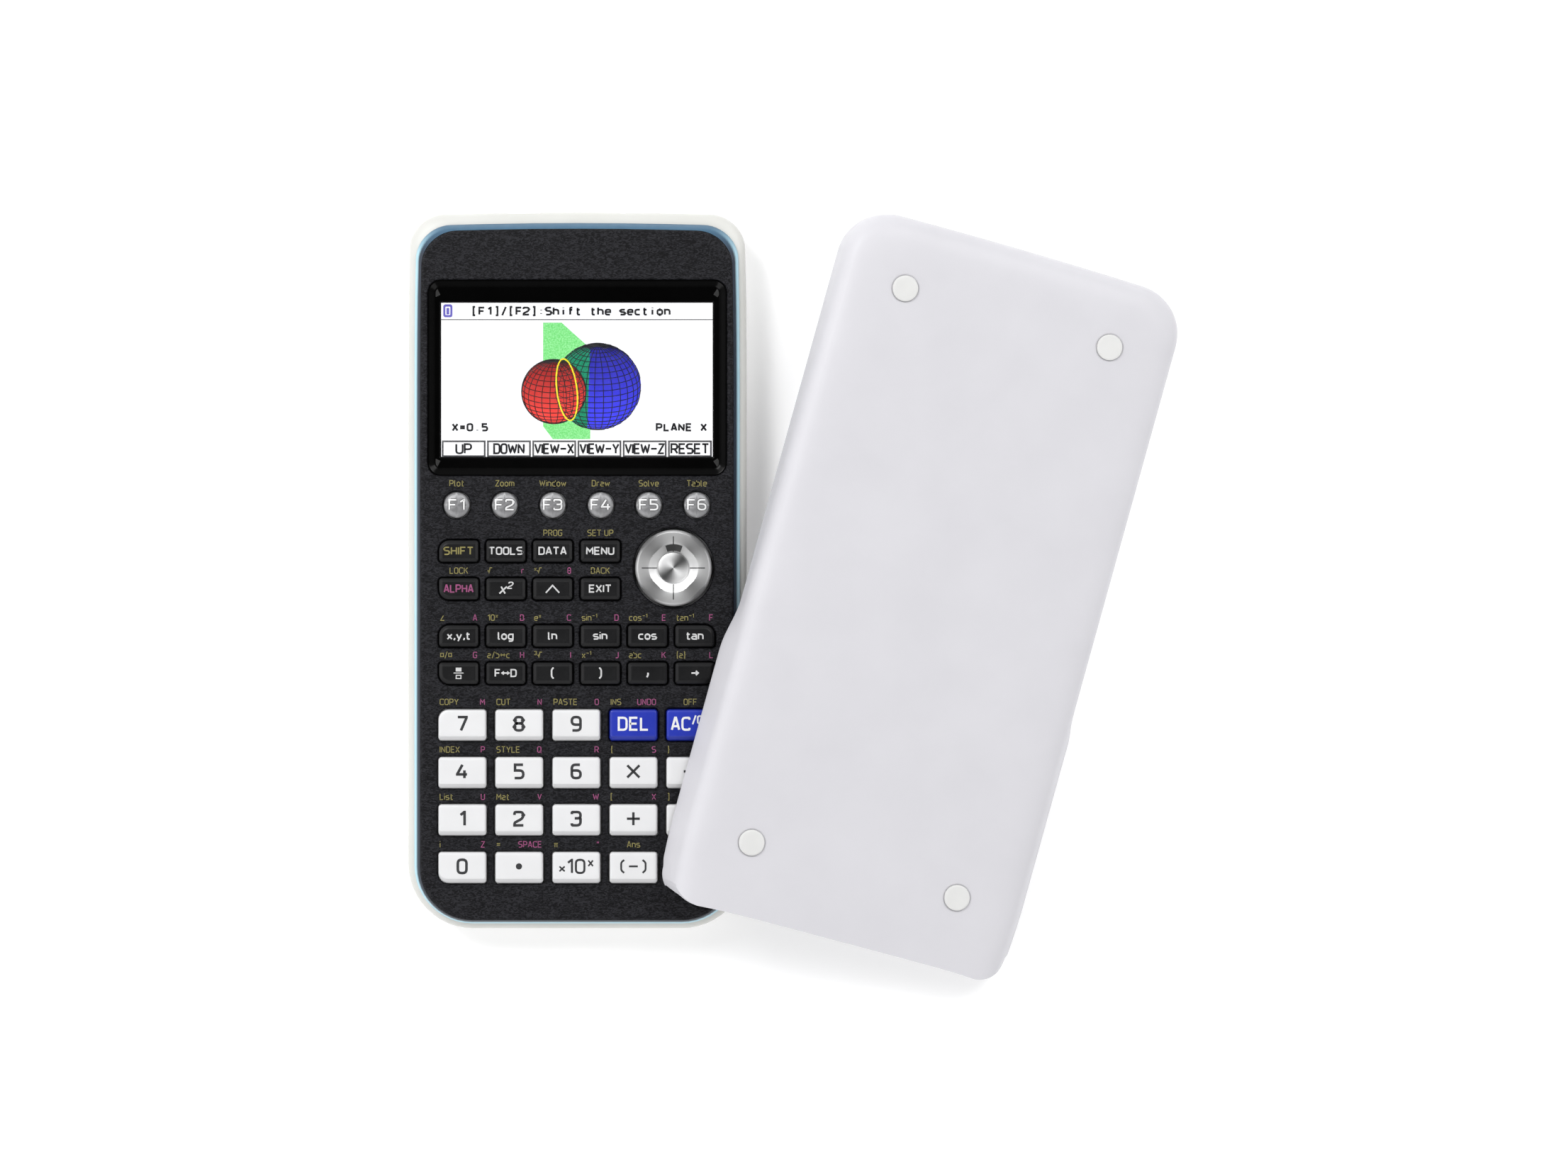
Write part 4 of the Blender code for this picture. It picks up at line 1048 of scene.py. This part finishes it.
def words_piece(name, bm, z, material, body, under=None, lift=0.0):
    """Finish written words as one piece at a height, or lying on the piece under them."""
    if under:
        surface = BVHTree.FromPolygons(
            [vertex.co / MM for vertex in under.data.vertices],
            [tuple(face.vertices) for face in under.data.polygons])
        shift = under.location / MM
        for vertex in bm.verts:
            above = Vector((vertex.co.x - shift.x, vertex.co.y - shift.y, 100.0))
            hit = surface.ray_cast(above, Vector((0.0, 0.0, -1.0)))
            vertex.co.z += (hit[0].z + shift.z if hit[0] else z) + lift
    else:
        bmesh.ops.translate(bm, verts=bm.verts, vec=(0.0, 0.0, z))
    piece = finish_mesh(name, bm, material)
    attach(piece, body)
    return piece


# Legend on each key
LEGENDS = {
    "shift": "SHIFT", "option": "TOOLS", "variables": "DATA", "menu": "MENU", "alpha": "ALPHA",
    "square": "x~2", "power": "^", "exit": "EXIT", "variable_x": "x,y,t", "log": "log", "ln": "ln",
    "sin": "sin", "cos": "cos", "tan": "tan", "convert": "F↔D", "bracket_open": "(", "bracket_close": ")",
    "comma": ",", "store": "→", "delete": "DEL", "clear_on": "AC~/ON", "multiply": "×", "divide": "÷",
    "plus": "+", "minus": "-", "exponent": "_×_10~x", "negative": "(-)", "execute": "ENTER",
}

# Words printed on the face above each key: left in gold, right in pink
FACE_WORDS = {
    "f1": ("Plot", ""), "f2": ("Zoom", ""), "f3": ("Window", ""), "f4": ("Draw", ""), "f5": ("Solve", ""),
    "f6": ("Table", ""), "variables": ("PROG", ""), "menu": ("SET UP", ""), "alpha": ("LOCK", ""),
    "square": ("√", "r"), "power": ("~x~√", "θ"), "exit": ("BACK", ""), "variable_x": ("∠", "A"),
    "log": ("10~x", "B"), "ln": ("e~x", "C"), "sin": ("sin~-1", "D"), "cos": ("cos~-1", "E"),
    "tan": ("tan~-1", "F"), "fraction": ("□/□", "G"), "convert": ("a/b↔c", "H"),
    "bracket_open": ("~3~√", "I"), "bracket_close": ("x~-1", "J"), "comma": ("abc",
    "K"), "store": ("{a}", "L"),
    "7": ("COPY", "M"), "8": ("CUT", "N"), "9": ("PASTE", "O"), "delete": ("INS", "UNDO"),
    "clear_on": ("OFF", ""), "4": ("INDEX", "P"), "5": ("STYLE", "Q"), "6": ("", "R"),
    "multiply": ("{", "S"), "divide": ("}", "T"), "1": ("List", "U"), "2": ("Mat", "V"), "3": ("", "W"),
    "plus": ("[", "X"), "minus": ("]", "Y"), "0": ("i", "Z"), "point": ("=", "SPACE"),
    "exponent": ("π", "\""), "negative": ("Ans", ""),
}
MIDDLE_WORDS = ("f1", "f2", "f3", "f4", "f5", "f6", "variables", "menu", "alpha", "exit", "clear_on",
                "negative")

# Cap height and pen of a legend, by kind of key and for the keys that differ from their kind
LEGEND_PENS = {
    "round": (3.0, dict(weight=0.43, spacing=3.6, stretch=1.25)),
    "small": (2.15, dict(weight=0.37, spacing=3.1, stretch=1.22)),
    "square": (3.0, dict(weight=0.4, slant=0.22, stretch=1.1)),
    "power": (5.0, dict(weight=0.38, stretch=0.95)),
    "comma": (4.2, dict(weight=0.46, stretch=0.8)),
    "negative": (3.3, dict(weight=0.5, spacing=4.4, stretch=1.3)),
}
LEGEND_PENS.update(dict.fromkeys(
    ("shift", "alpha"), (2.2, dict(weight=0.36, spacing=3.2, stretch=1.25, limit=7.5))))
LEGEND_PENS.update(dict.fromkeys(("bracket_open", "bracket_close", "store"), (2.8, dict(weight=0.42))))
LEGEND_PENS.update(dict.fromkeys(("multiply", "divide", "plus", "minus"), (5.95, dict(weight=0.64))))
LARGE_CAPS = {"delete": 3.7, "clear_on": 3.7, "exponent": 4.0, "execute": 2.6}


def legend_ink(name, kind):
    if name == "shift":
        return INK_GOLD
    if name == "alpha":
        return INK_PINK
    if kind == "large" and name not in ("delete", "clear_on"):
        return INK_DARK
    return INK_SOFT if kind == "small" else INK_WHITE


def legend_style(name, kind):
    """Cap height and pen of a key's legend."""
    if name in LEGEND_PENS:
        return LEGEND_PENS[name]
    if kind != "large":
        return LEGEND_PENS[kind]
    weight = 0.7 if len(name) == 1 else 0.56
    return LARGE_CAPS.get(name, 4.2), dict(weight=weight, spacing=3.0, stretch=1.08, limit=9.6)


def build_legend(node, shape, cap_piece):
    """Printed legend on one keycap."""
    (x, y), _, _, _, top, kind, _ = shape
    name = node[len("key_"):]
    bm = bmesh.new()
    place = (x, y + (1.45 if name == "comma" else 0.35 if kind == "large" else 0.1))
    if name == "fraction":
        ribbon(bm, [Vector((x - 0.75, y + 1.0)), Vector((x + 0.75, y + 1.0))], 1.0, False)
        ribbon(bm, [Vector((x - 1.3, y + 0.1)), Vector((x + 1.3, y + 0.1))], 0.24, False)
        corners = block((x - 0.62, x + 0.62), (y - 1.35, y - 0.5))
        ribbon(bm, [Vector(spot) for spot in corners], 0.26, True)
    elif name == "point":
        ribbon(bm, [Vector(spot) for spot in circle(place, 0.42, 16)], 0.8, True)
    else:
        text = LEGENDS.get(name, name.upper())
        cap, pen = legend_style(name, kind)
        write(bm, text, place, cap, "CENTER", **pen)
    if kind == "round":
        shadow = bmesh.new()
        write(shadow, text, place, cap, "CENTER", halo=0.4, **pen)
        words_piece("shadow_" + name, shadow, top, KEY_SHADOW, node, cap_piece)
    words_piece("legend_" + name, bm, top, legend_ink(name, kind), node, cap_piece,
                0.03 if kind == "round" else 0.0)


def build_face_words():
    """Gold and pink words printed on the face above the keys."""
    gold = bmesh.new()
    pink = bmesh.new()
    for name, (left, right) in FACE_WORDS.items():
        centre, half_x, half_y, _, _, kind, _ = key_shape("key_" + name)
        y = centre[1] + half_y + (1.95 if kind != "round" else 2.35)
        pen = dict(weight=0.22, spacing=2.6)
        if name in MIDDLE_WORDS:
            write(gold, left, (centre[0], y), 1.7, "CENTER", **pen)
            continue
        if left:
            write(gold, left, (centre[0] - half_x + 0.3, y), 1.7, "LEFT", **pen)
        if right:
            write(pink, right, (centre[0] + half_x - 0.4, y), 1.7, "RIGHT", **pen)
    words_piece("face_words_gold", gold, FACE_Z - 0.005, INK_GOLD, CALCULATOR)
    words_piece("face_words_pink", pink, FACE_Z - 0.005, INK_PINK, CALCULATOR)


# ------------------------------------------------------------------ keys

# Material and slot of each kind of keycap
KEY_LOOKS = {"round": (KEY_SILVER, "silver"), "small": (KEY_BLACK, "black_key"),
             "large": (KEY_WHITE, "white_key"), "blue": (KEY_BLUE, "blue_key")}
# Section of each kind of keycap above the face: (inset from its side, drop below its top)
CAP_SECTIONS = {
    "large": ((0.02, 1.3), (0.10, 0.62), (0.16, 0.36), (0.27, 0.18), (0.42, 0.07), (0.62, 0.02), (1.2, 0.0),
              (2.2, 0.02), (3.1, 0.03)),
    "small": ((0.02, 1.0), (0.04, 0.68), (0.12, 0.55), (0.24, 0.46), (0.68, 0.13), (0.80, 0.05), (0.95, 0.0),
              (1.3, 0.02), (2.0, 0.05), (2.5, 0.055)),
    "round": ((0.02, 1.15), (0.06, 0.85), (0.2, 0.66), (0.5, 0.47), (0.9, 0.31), (1.4, 0.17), (2.0, 0.07),
              (2.7, 0.02), (3.2, 0.0)),
}
# How far the lower side of each kind leans in
LOW_LEAN = {"large": 0.75, "small": 0.22, "round": 0.0}


def build_keycap(node, shape):
    """One moulded keycap: flange, leaning lower side, rolled edge and a shaped top."""
    centre, _, _, base, top, kind, _ = shape
    foot = ((FLANGE_LIP, base), (FLANGE_LIP, base + 0.5), (0.0, base + 0.51), (0.0, FACE_Z - 0.4))
    loops = [grown(shape, extra, z) for extra, z in foot]
    for index, (inset, drop) in enumerate(CAP_SECTIONS[kind]):
        loops.append(grown(shape, -inset, top - drop, LOW_LEAN[kind] * min(1.0, index / 2)))
    bm = bmesh.new()
    loft(bm, loops, True, True)
    material, slot = KEY_LOOKS["blue" if node in ("key_delete", "key_clear_on") else kind]
    cap = finish_mesh("cap_" + node[len("key_"):], bm, material, 40.0)
    if kind == "round":
        recentre(cap, centre, base)
    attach(cap, node)
    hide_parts(node)
    return cap


def recentre(piece, centre, z):
    """Move a piece's origin to an upright axis, so that its turned grain runs round that axis."""
    origin = Vector((centre[0], centre[1], z)) * MM
    piece.data.transform(Matrix.Translation(-origin))
    piece.location = origin


def build_keys():
    for node in key_nodes():
        shape = key_shape(node)
        build_legend(node, shape, build_keycap(node, shape))


def flat_sided_loop(centre, z, radius, chord, count=96):
    """Circle whose four diagonal sides are cut flat at the chord's distance."""
    points = []
    for index in range(count):
        angle = 2 * pi * index / count
        off = angle % (pi / 2) - pi / 4
        reach = min(radius, chord / cos(off)) if chord else radius
        points.append((centre[0] + reach * cos(angle), centre[1] + reach * sin(angle), z))
    return points


def build_cursor_pad():
    """Silver rocker: a round rim with four diagonal facets, an eight-sided dish and a coned hub."""
    low, high = node_box("cursor_pad")
    centre, _ = plan(low, high)
    top = high.z
    rings = (
        (low.z, 10.05, None), (17.3, 10.05, None), (17.6, 10.0, 9.95), (top - 0.42, 9.85, 9.45),
        (top - 0.12, 9.6, 9.08), (top - 0.02, 9.4, 8.95), (top, 9.2, 8.85), (top - 0.02, 6.6, 6.2),
        (top - 0.08, 6.4, 6.0), (top - 0.55, 5.2, 4.95), (top - 0.8, 4.5, 4.4), (top - 0.84, 4.3, None),
        (top - 0.84, 4.1, None), (top - 0.7, 4.0, None), (top - 0.62, 3.8, None), (top - 0.5, 2.0, None),
        (top - 0.44, 0.25, None),
    )
    bm = bmesh.new()
    loft(bm, [flat_sided_loop(centre, z, radius, chord) for z, radius, chord in rings], True, True)
    pad = finish_mesh("cursor_rocker", bm, PAD_RIM, 24.0)
    recentre(pad, centre, low.z)
    pad.data.materials.append(PAD_DISH)
    pad.data.materials.append(PAD_HUB)
    for face in pad.data.polygons:
        reach = hypot(face.center.x, face.center.y) / MM
        if face.center.z / MM + low.z > top - PAD_DISH_DEPTH:
            face.material_index = 2 if reach < PAD_HUB_RADIUS else 1 if reach < PAD_DISH_RADIUS else 0
    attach(pad, "cursor_pad")
    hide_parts("cursor_pad")
    bm = bmesh.new()
    for way in quarter_turns():
        run = [Vector(centre) + way * reach for reach in (4.3, 8.3)]
        ribbon(bm, divide(run, False, 0.2), 0.26, False)
    # Painted dark reflection: a broad black arc across the top of the dish
    painted_dark_reflection = [Vector(spot) for spot in circle(centre, 5.35, 16, radians(67), radians(113))]
    ribbon(bm, painted_dark_reflection, 1.7, False)
    words_piece("cursor_lines_and_painted_reflection", bm, top, PAD_LINES_AND_PAINTED_REFLECTION, "cursor_pad", pad)


def quarter_turns():
    """Unit steps to the right, up, left and down."""
    return [Vector((cos(turn * pi / 2), sin(turn * pi / 2))) for turn in range(4)]


# ------------------------------------------------------------------ back and inside

def build_fasteners():
    """Six screw heads in the back, and the linings of the two sockets."""
    bm = bmesh.new()
    for place in BOSSES:
        turned(bm, place, SCREW_HEAD, 24)
    screws = finish_mesh("case_screws", bm, STEEL)
    cross = []
    for way in quarter_turns():
        side = Vector((-way.y, way.x))
        cross += [way - side * CROSS_HALF_WIDTH, way + side * CROSS_HALF_WIDTH,
                  (way + side) * CROSS_HALF_WIDTH]
    bm = bmesh.new()
    for x, y in BOSSES:
        loft(bm, [[(x + spot.x, y + spot.y, z) for spot in cross] for z in CROSS_Z], True, True)
    boolean(screws, bm)
    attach(screws, CALCULATOR)

    half_x, half_z = DATA_SHELL
    outer = rounded_outline((DATA_X, DATA_Z), half_x, half_z, 0.5)
    inner = rounded_outline((DATA_X, DATA_Z), half_x - DATA_SHELL_WALL, half_z - DATA_SHELL_WALL, 0.4)
    back, front = DATA_SHELL_Y
    rings = [[(x, y, z) for x, z in loop]
             for loop, y in ((outer, back), (outer, front), (inner, front), (inner, back))]
    bm = bmesh.new()
    loft(bm, rings, False, False, True)
    shell = finish_mesh("data_socket_shell", bm, STEEL)
    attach(shell, CALCULATOR)

    bm = bmesh.new()
    turned(bm, (0.0, 0.0), ((2.4, -3.3), (2.4, 0.0), (2.15, 0.15), (1.35, 0.1), (1.3, -3.3)), 32, True)
    place = Matrix.Translation((JACK_X, JACK_COLLAR_Y, JACK_Z)) @ Matrix.Rotation(-pi / 2, 4, "X")
    bmesh.ops.transform(bm, matrix=place, verts=bm.verts)
    jack = finish_mesh("link_jack_collar", bm, SOCKET_BLACK)
    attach(jack, CALCULATOR)


def build_cells():
    """Four battery cells with metal ends, every second one turned about."""
    low, high = node_box("battery_cells")
    (x, y), (_, half) = plan(low, high)
    half -= CELL_PIP
    z = (low.z + high.z) / 2
    sleeve_profile = ((4.6, -half + 0.3), (5.0, -half + 0.4), (5.15, -half + 0.9), (5.15, half - 1.1),
                      (5.0, half - 0.5), (4.4, half - 0.3))
    end_profile = ((4.3, -half), (4.3, -half + 0.29), (4.3, half - 0.28), (4.0, half - 0.1), (2.2, half),
                   (1.9, half + 0.1), (1.85, half + 0.7), (1.6, half + CELL_PIP))
    made = []
    for name, profile, material in (
            ("cell_sleeves", sleeve_profile, CELL), ("cell_ends", end_profile, STEEL)):
        bm = bmesh.new()
        for index in range(4):
            first = len(bm.verts)
            turned(bm, (0.0, 0.0), profile, 32)
            bm.verts.ensure_lookup_table()
            way = -1 if index % 2 else 1
            place = Matrix.Translation((x + (index - 1.5) * CELL_PITCH, y, z))
            bmesh.ops.transform(
                bm, matrix=place @ Matrix.Rotation(way * pi / 2, 4, "X"), verts=bm.verts[first:])
        made.append(finish_mesh(name, bm, material))
    sleeve, end = made
    for piece in (sleeve, end):
        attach(piece, CALCULATOR)
    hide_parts("battery_cells")


# ------------------------------------------------------------------ cover

def cover_matrix():
    """From the cover's own frame to the row's frame, in millimetres."""
    half_span = COVER_HALF_WIDTH + COVER_FLARE
    place = Matrix.Translation((*COVER_CENTRE, half_span * sin(COVER_ROLL)))
    return place @ Matrix.Rotation(COVER_HEADING, 4, "Z") @ Matrix.Rotation(COVER_ROLL, 4, "Y")


def world_from_cover():
    """The cover's placing as a matrix for meshes in metres."""
    matrix = cover_matrix()
    matrix.translation *= MM
    return matrix


def flare_at(y, z):
    """How far the rim stands out beside the thumb grips near the mouth."""
    along = min(1.0, max(0.0, (FLARE_START_Y - y) / (FLARE_START_Y - FLARE_END_Y)))
    eased = along * along * (3.0 - 2.0 * along)
    fade = (FLARE_Z[1] - z) / (FLARE_Z[1] - FLARE_Z[0])
    return COVER_FLARE * eased * min(1.0, max(0.0, fade))


def draw_in(y):
    """How far the walls close in near the mouth."""
    reach = COVER_LENGTH / 2 + MOUTH_DRAW_START_Y
    return MOUTH_DRAW * max(0.0, (MOUTH_DRAW_START_Y - y) / reach) ** 1.5


def cover_loop(z, inset, steps=16):
    half = COVER_HALF_WIDTH
    high = COVER_LENGTH / 2
    radius = COVER_CORNER_RADIUS
    stops = [-120.0] + [-94.0 + 4.0 * i for i in range(6)] + [-60.0, -45.0, -34.0]
    stops += [FLARE_END_Y + i * (FLARE_START_Y - FLARE_END_Y) / 8 for i in range(9)]
    stops += [0.0, 25.0, 45.0, 60.0, 70.0]
    right = [(half, y) for y in stops]
    for step in range(steps + 1):
        angle = step * pi / 2 / steps
        right.append((half - radius + radius * cos(angle), high - radius + radius * sin(angle)))
    right += [(x, high) for x in (24.0, 12.0, 0.0)]
    points = right + [(-x, y) for x, y in reversed(right[:-1])]
    loop = []
    for x, y in points:
        scale_x = (half - inset + flare_at(y, z) - draw_in(max(y, -high))) / half
        if y > 0:
            y = y * (high - inset) / high - COVER_CROWN * (y / high) ** 6 * (x / half) ** 2
        loop.append((x * scale_x, y, z))
    return loop


def mouth_outline(z):
    """Plan that trims the mouth at one level: round corners, and an end that dishes in between them."""
    half = COVER_HALF_WIDTH + MOUTH_CLEAR - MOUTH_DRAFT * z
    low = -COVER_LENGTH / 2 + MOUTH_TRIM
    wide = COVER_HALF_WIDTH + COVER_FLARE + 1.0
    span = half - MOUTH_RADIUS
    right = []
    for step in range(12):
        x = span * step / 12
        right.append((x, low + MOUTH_DISH * (1.0 - (x / span) ** 6)))
    for step in range(19):
        angle = (step / 18 - 1.0) * pi / 2
        right.append((span + MOUTH_RADIUS * cos(angle), low + MOUTH_RADIUS * (1.0 + sin(angle))))
    right += [(wide, low + 2.0 * MOUTH_RADIUS), (wide, COVER_LENGTH)]
    points = right + [(-x, y) for x, y in reversed(right[1:])]
    return [(x, y, z) for x, y in points]


def build_cover():
    """Hard cover with broadly rolled flanks, a dished mouth, rails and foot pockets."""
    top = COVER_DEPTH
    profile = [
        (top, 13.0), (top - 0.06, 9.5), (top - 0.25, 6.6), (top - 0.6, 4.5), (top - 1.15, 2.95),
        (top - 1.9, 1.8), (top - 2.9, 0.95), (top - 4.1, 0.4), (top - 5.4, 0.1), (top - 6.6, 0.0),
        (3.5, 0.0), (FLARE_Z[0], 0.0), (0.4, 0.0), (0.0, 0.0)]
    bm = bmesh.new()
    loft(bm, [cover_loop(z, inset) for z, inset in profile])
    geom = bm.verts[:] + bm.edges[:] + bm.faces[:]
    bmesh.ops.bisect_plane(
        bm, geom=geom, plane_co=(0.0, -COVER_LENGTH / 2 - MOUTH_OVERRUN, 0.0), plane_no=(0.0, -1.0, 0.0),
        clear_outer=True)
    cover = finish_mesh("cover_shell", bm, COVER_WHITE)
    solidify(cover, COVER_WALL)

    bm = bmesh.new()
    loft(bm, [mouth_outline(z) for z in (-2.0, top + 2.0)], True, True)
    boolean(cover, bm, "INTERSECT")
    bm = bmesh.new()
    outer = COVER_HALF_WIDTH - COVER_WALL / 2
    box(bm, (RAIL_INNER_X, outer), RAIL_Y, RAIL_Z)
    box(bm, (-outer, -RAIL_INNER_X), RAIL_Y, RAIL_Z)
    boolean(cover, bm, "UNION")
    bm = bmesh.new()
    pocket = ((FOOT_RADIUS + 0.03, top - FOOT_POCKET_DEPTH), (FOOT_RADIUS + 0.03, top - 0.3),
              (FOOT_RADIUS + 0.15, top - 0.22), (FOOT_POCKET_RADIUS, top + 0.02),
              (FOOT_POCKET_RADIUS, top + CUT_PAST))
    for place in FOOT_PLACES:
        turned(bm, place, pocket, 48)
    boolean(cover, bm)
    cover.data.transform(world_from_cover())
    even_shading(cover)
    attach(cover, "slide_cover")
    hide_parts("slide_cover")
    build_cover_feet()


def build_cover_feet():
    """Ivory feet, each with a rolled edge, standing in the cover's pockets."""
    floor = COVER_DEPTH - FOOT_POCKET_DEPTH
    top = COVER_DEPTH + FOOT_PROUD
    profile = ((FOOT_RADIUS, floor + 0.3), (FOOT_RADIUS, top - 0.3), (FOOT_RADIUS - 0.08, top - 0.12),
               (FOOT_RADIUS - 0.3, top - 0.02), (FOOT_RADIUS - 0.6, top), (0.8, top - 0.04))
    for index, place in enumerate(FOOT_PLACES):
        bm = bmesh.new()
        turned(bm, place, profile, 48)
        foot = finish_mesh("foot_pad_%d" % (index + 1), bm, RUBBER)
        foot.data.transform(world_from_cover())
        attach(foot, "slide_cover")
        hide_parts("cover_foot_%d" % (index + 1))


# ------------------------------------------------------------------ stage

def build_stage():
    """White floor that glows a little, as a product table lit from below does."""
    bm = bmesh.new()
    bmesh.ops.create_grid(bm, x_segments=2, y_segments=2, size=FLOOR_HALF)
    n = new_nodes("studio_floor")
    material = n.surface({
        "Base Color": n.ramp(n.noise(6.0), grey(0.85), grey(0.87)),
        "Roughness": n.uneven(n.noise(40.0), 0.6, 0.7),
        "Emission Color": (1.0, 1.0, 1.0, 1.0), "Emission Strength": FLOOR_GLOW,
    })
    floor = finish_mesh("studio_floor", bm, material)
    floor.location.z = -FLOOR_DROP


def add_softbox(name, azimuth, elevation, distance, size, energy):
    """Softbox aimed at the middle of the view."""
    across, up = radians(azimuth), radians(elevation)
    way = Vector((cos(across) * cos(up), sin(across) * cos(up), sin(up)))
    light = bpy.data.lights.new(name, "AREA")
    light.shape = "RECTANGLE"
    light.size, light.size_y = size
    light.energy = energy
    lamp = bpy.data.objects.new(name, light)
    lamp.location = Vector((VIEW_CENTRE[0] * MM, VIEW_CENTRE[1] * MM, 0.0)) + way * distance
    lamp.rotation_euler = way.to_track_quat("Z", "Y").to_euler()
    lamp.visible_camera = False
    bpy.context.scene.collection.objects.link(lamp)


def build_lights():
    """Softboxes at the corners and low at three sides, under a sky that is dark overhead."""
    n = Nodes(bpy.data.worlds.new("studio"), "Background")
    way = n.add("ShaderNodeTexCoord", {}).outputs["Generated"]
    lean = n.add("ShaderNodeVectorMath", {0: way, 1: SKY_LEAN}, operation="DOT_PRODUCT").outputs["Value"]
    level = n.maths("MAXIMUM", n.maths("ADD", lean, SKY_LEVEL), SKY_LEAST)
    bpy.context.scene.world = n.surface({"Color": SKY_COLOUR, "Strength": level})
    for softbox in SOFTBOXES:
        add_softbox(*softbox)


def build_camera():
    camera = bpy.data.cameras.new("camera")
    camera.sensor_width = SENSOR
    camera.lens = SENSOR * (CAMERA_HEIGHT - FACE_Z) / VIEW_WIDTH
    camera.clip_end = CAMERA_REACH
    holder = bpy.data.objects.new("camera", camera)
    holder.location = (VIEW_CENTRE[0] * MM, VIEW_CENTRE[1] * MM, CAMERA_HEIGHT * MM)
    bpy.context.scene.collection.objects.link(holder)
    bpy.context.scene.camera = holder
    bpy.context.scene.view_settings.view_transform = "Standard"


def finish_cad_nodes():
    """Give the CAD nodes that stay their finished materials."""
    for node, material in (("battery_cover", CASE_WHITE), ("lcd_module", SOCKET_BLACK),
                           ("main_board", BOARD), ("key_mat", SILICONE)):
        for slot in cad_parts[node].material_slots:
            slot.material = material


build_camera()
build_lights()
build_stage()
finish_cad_nodes()
build_rear_case()
build_trim()
build_front_panel()
build_screen_glass()
build_picture()
build_keys()
build_face_words()
build_cursor_pad()
build_fasteners()
build_cells()
build_cover()
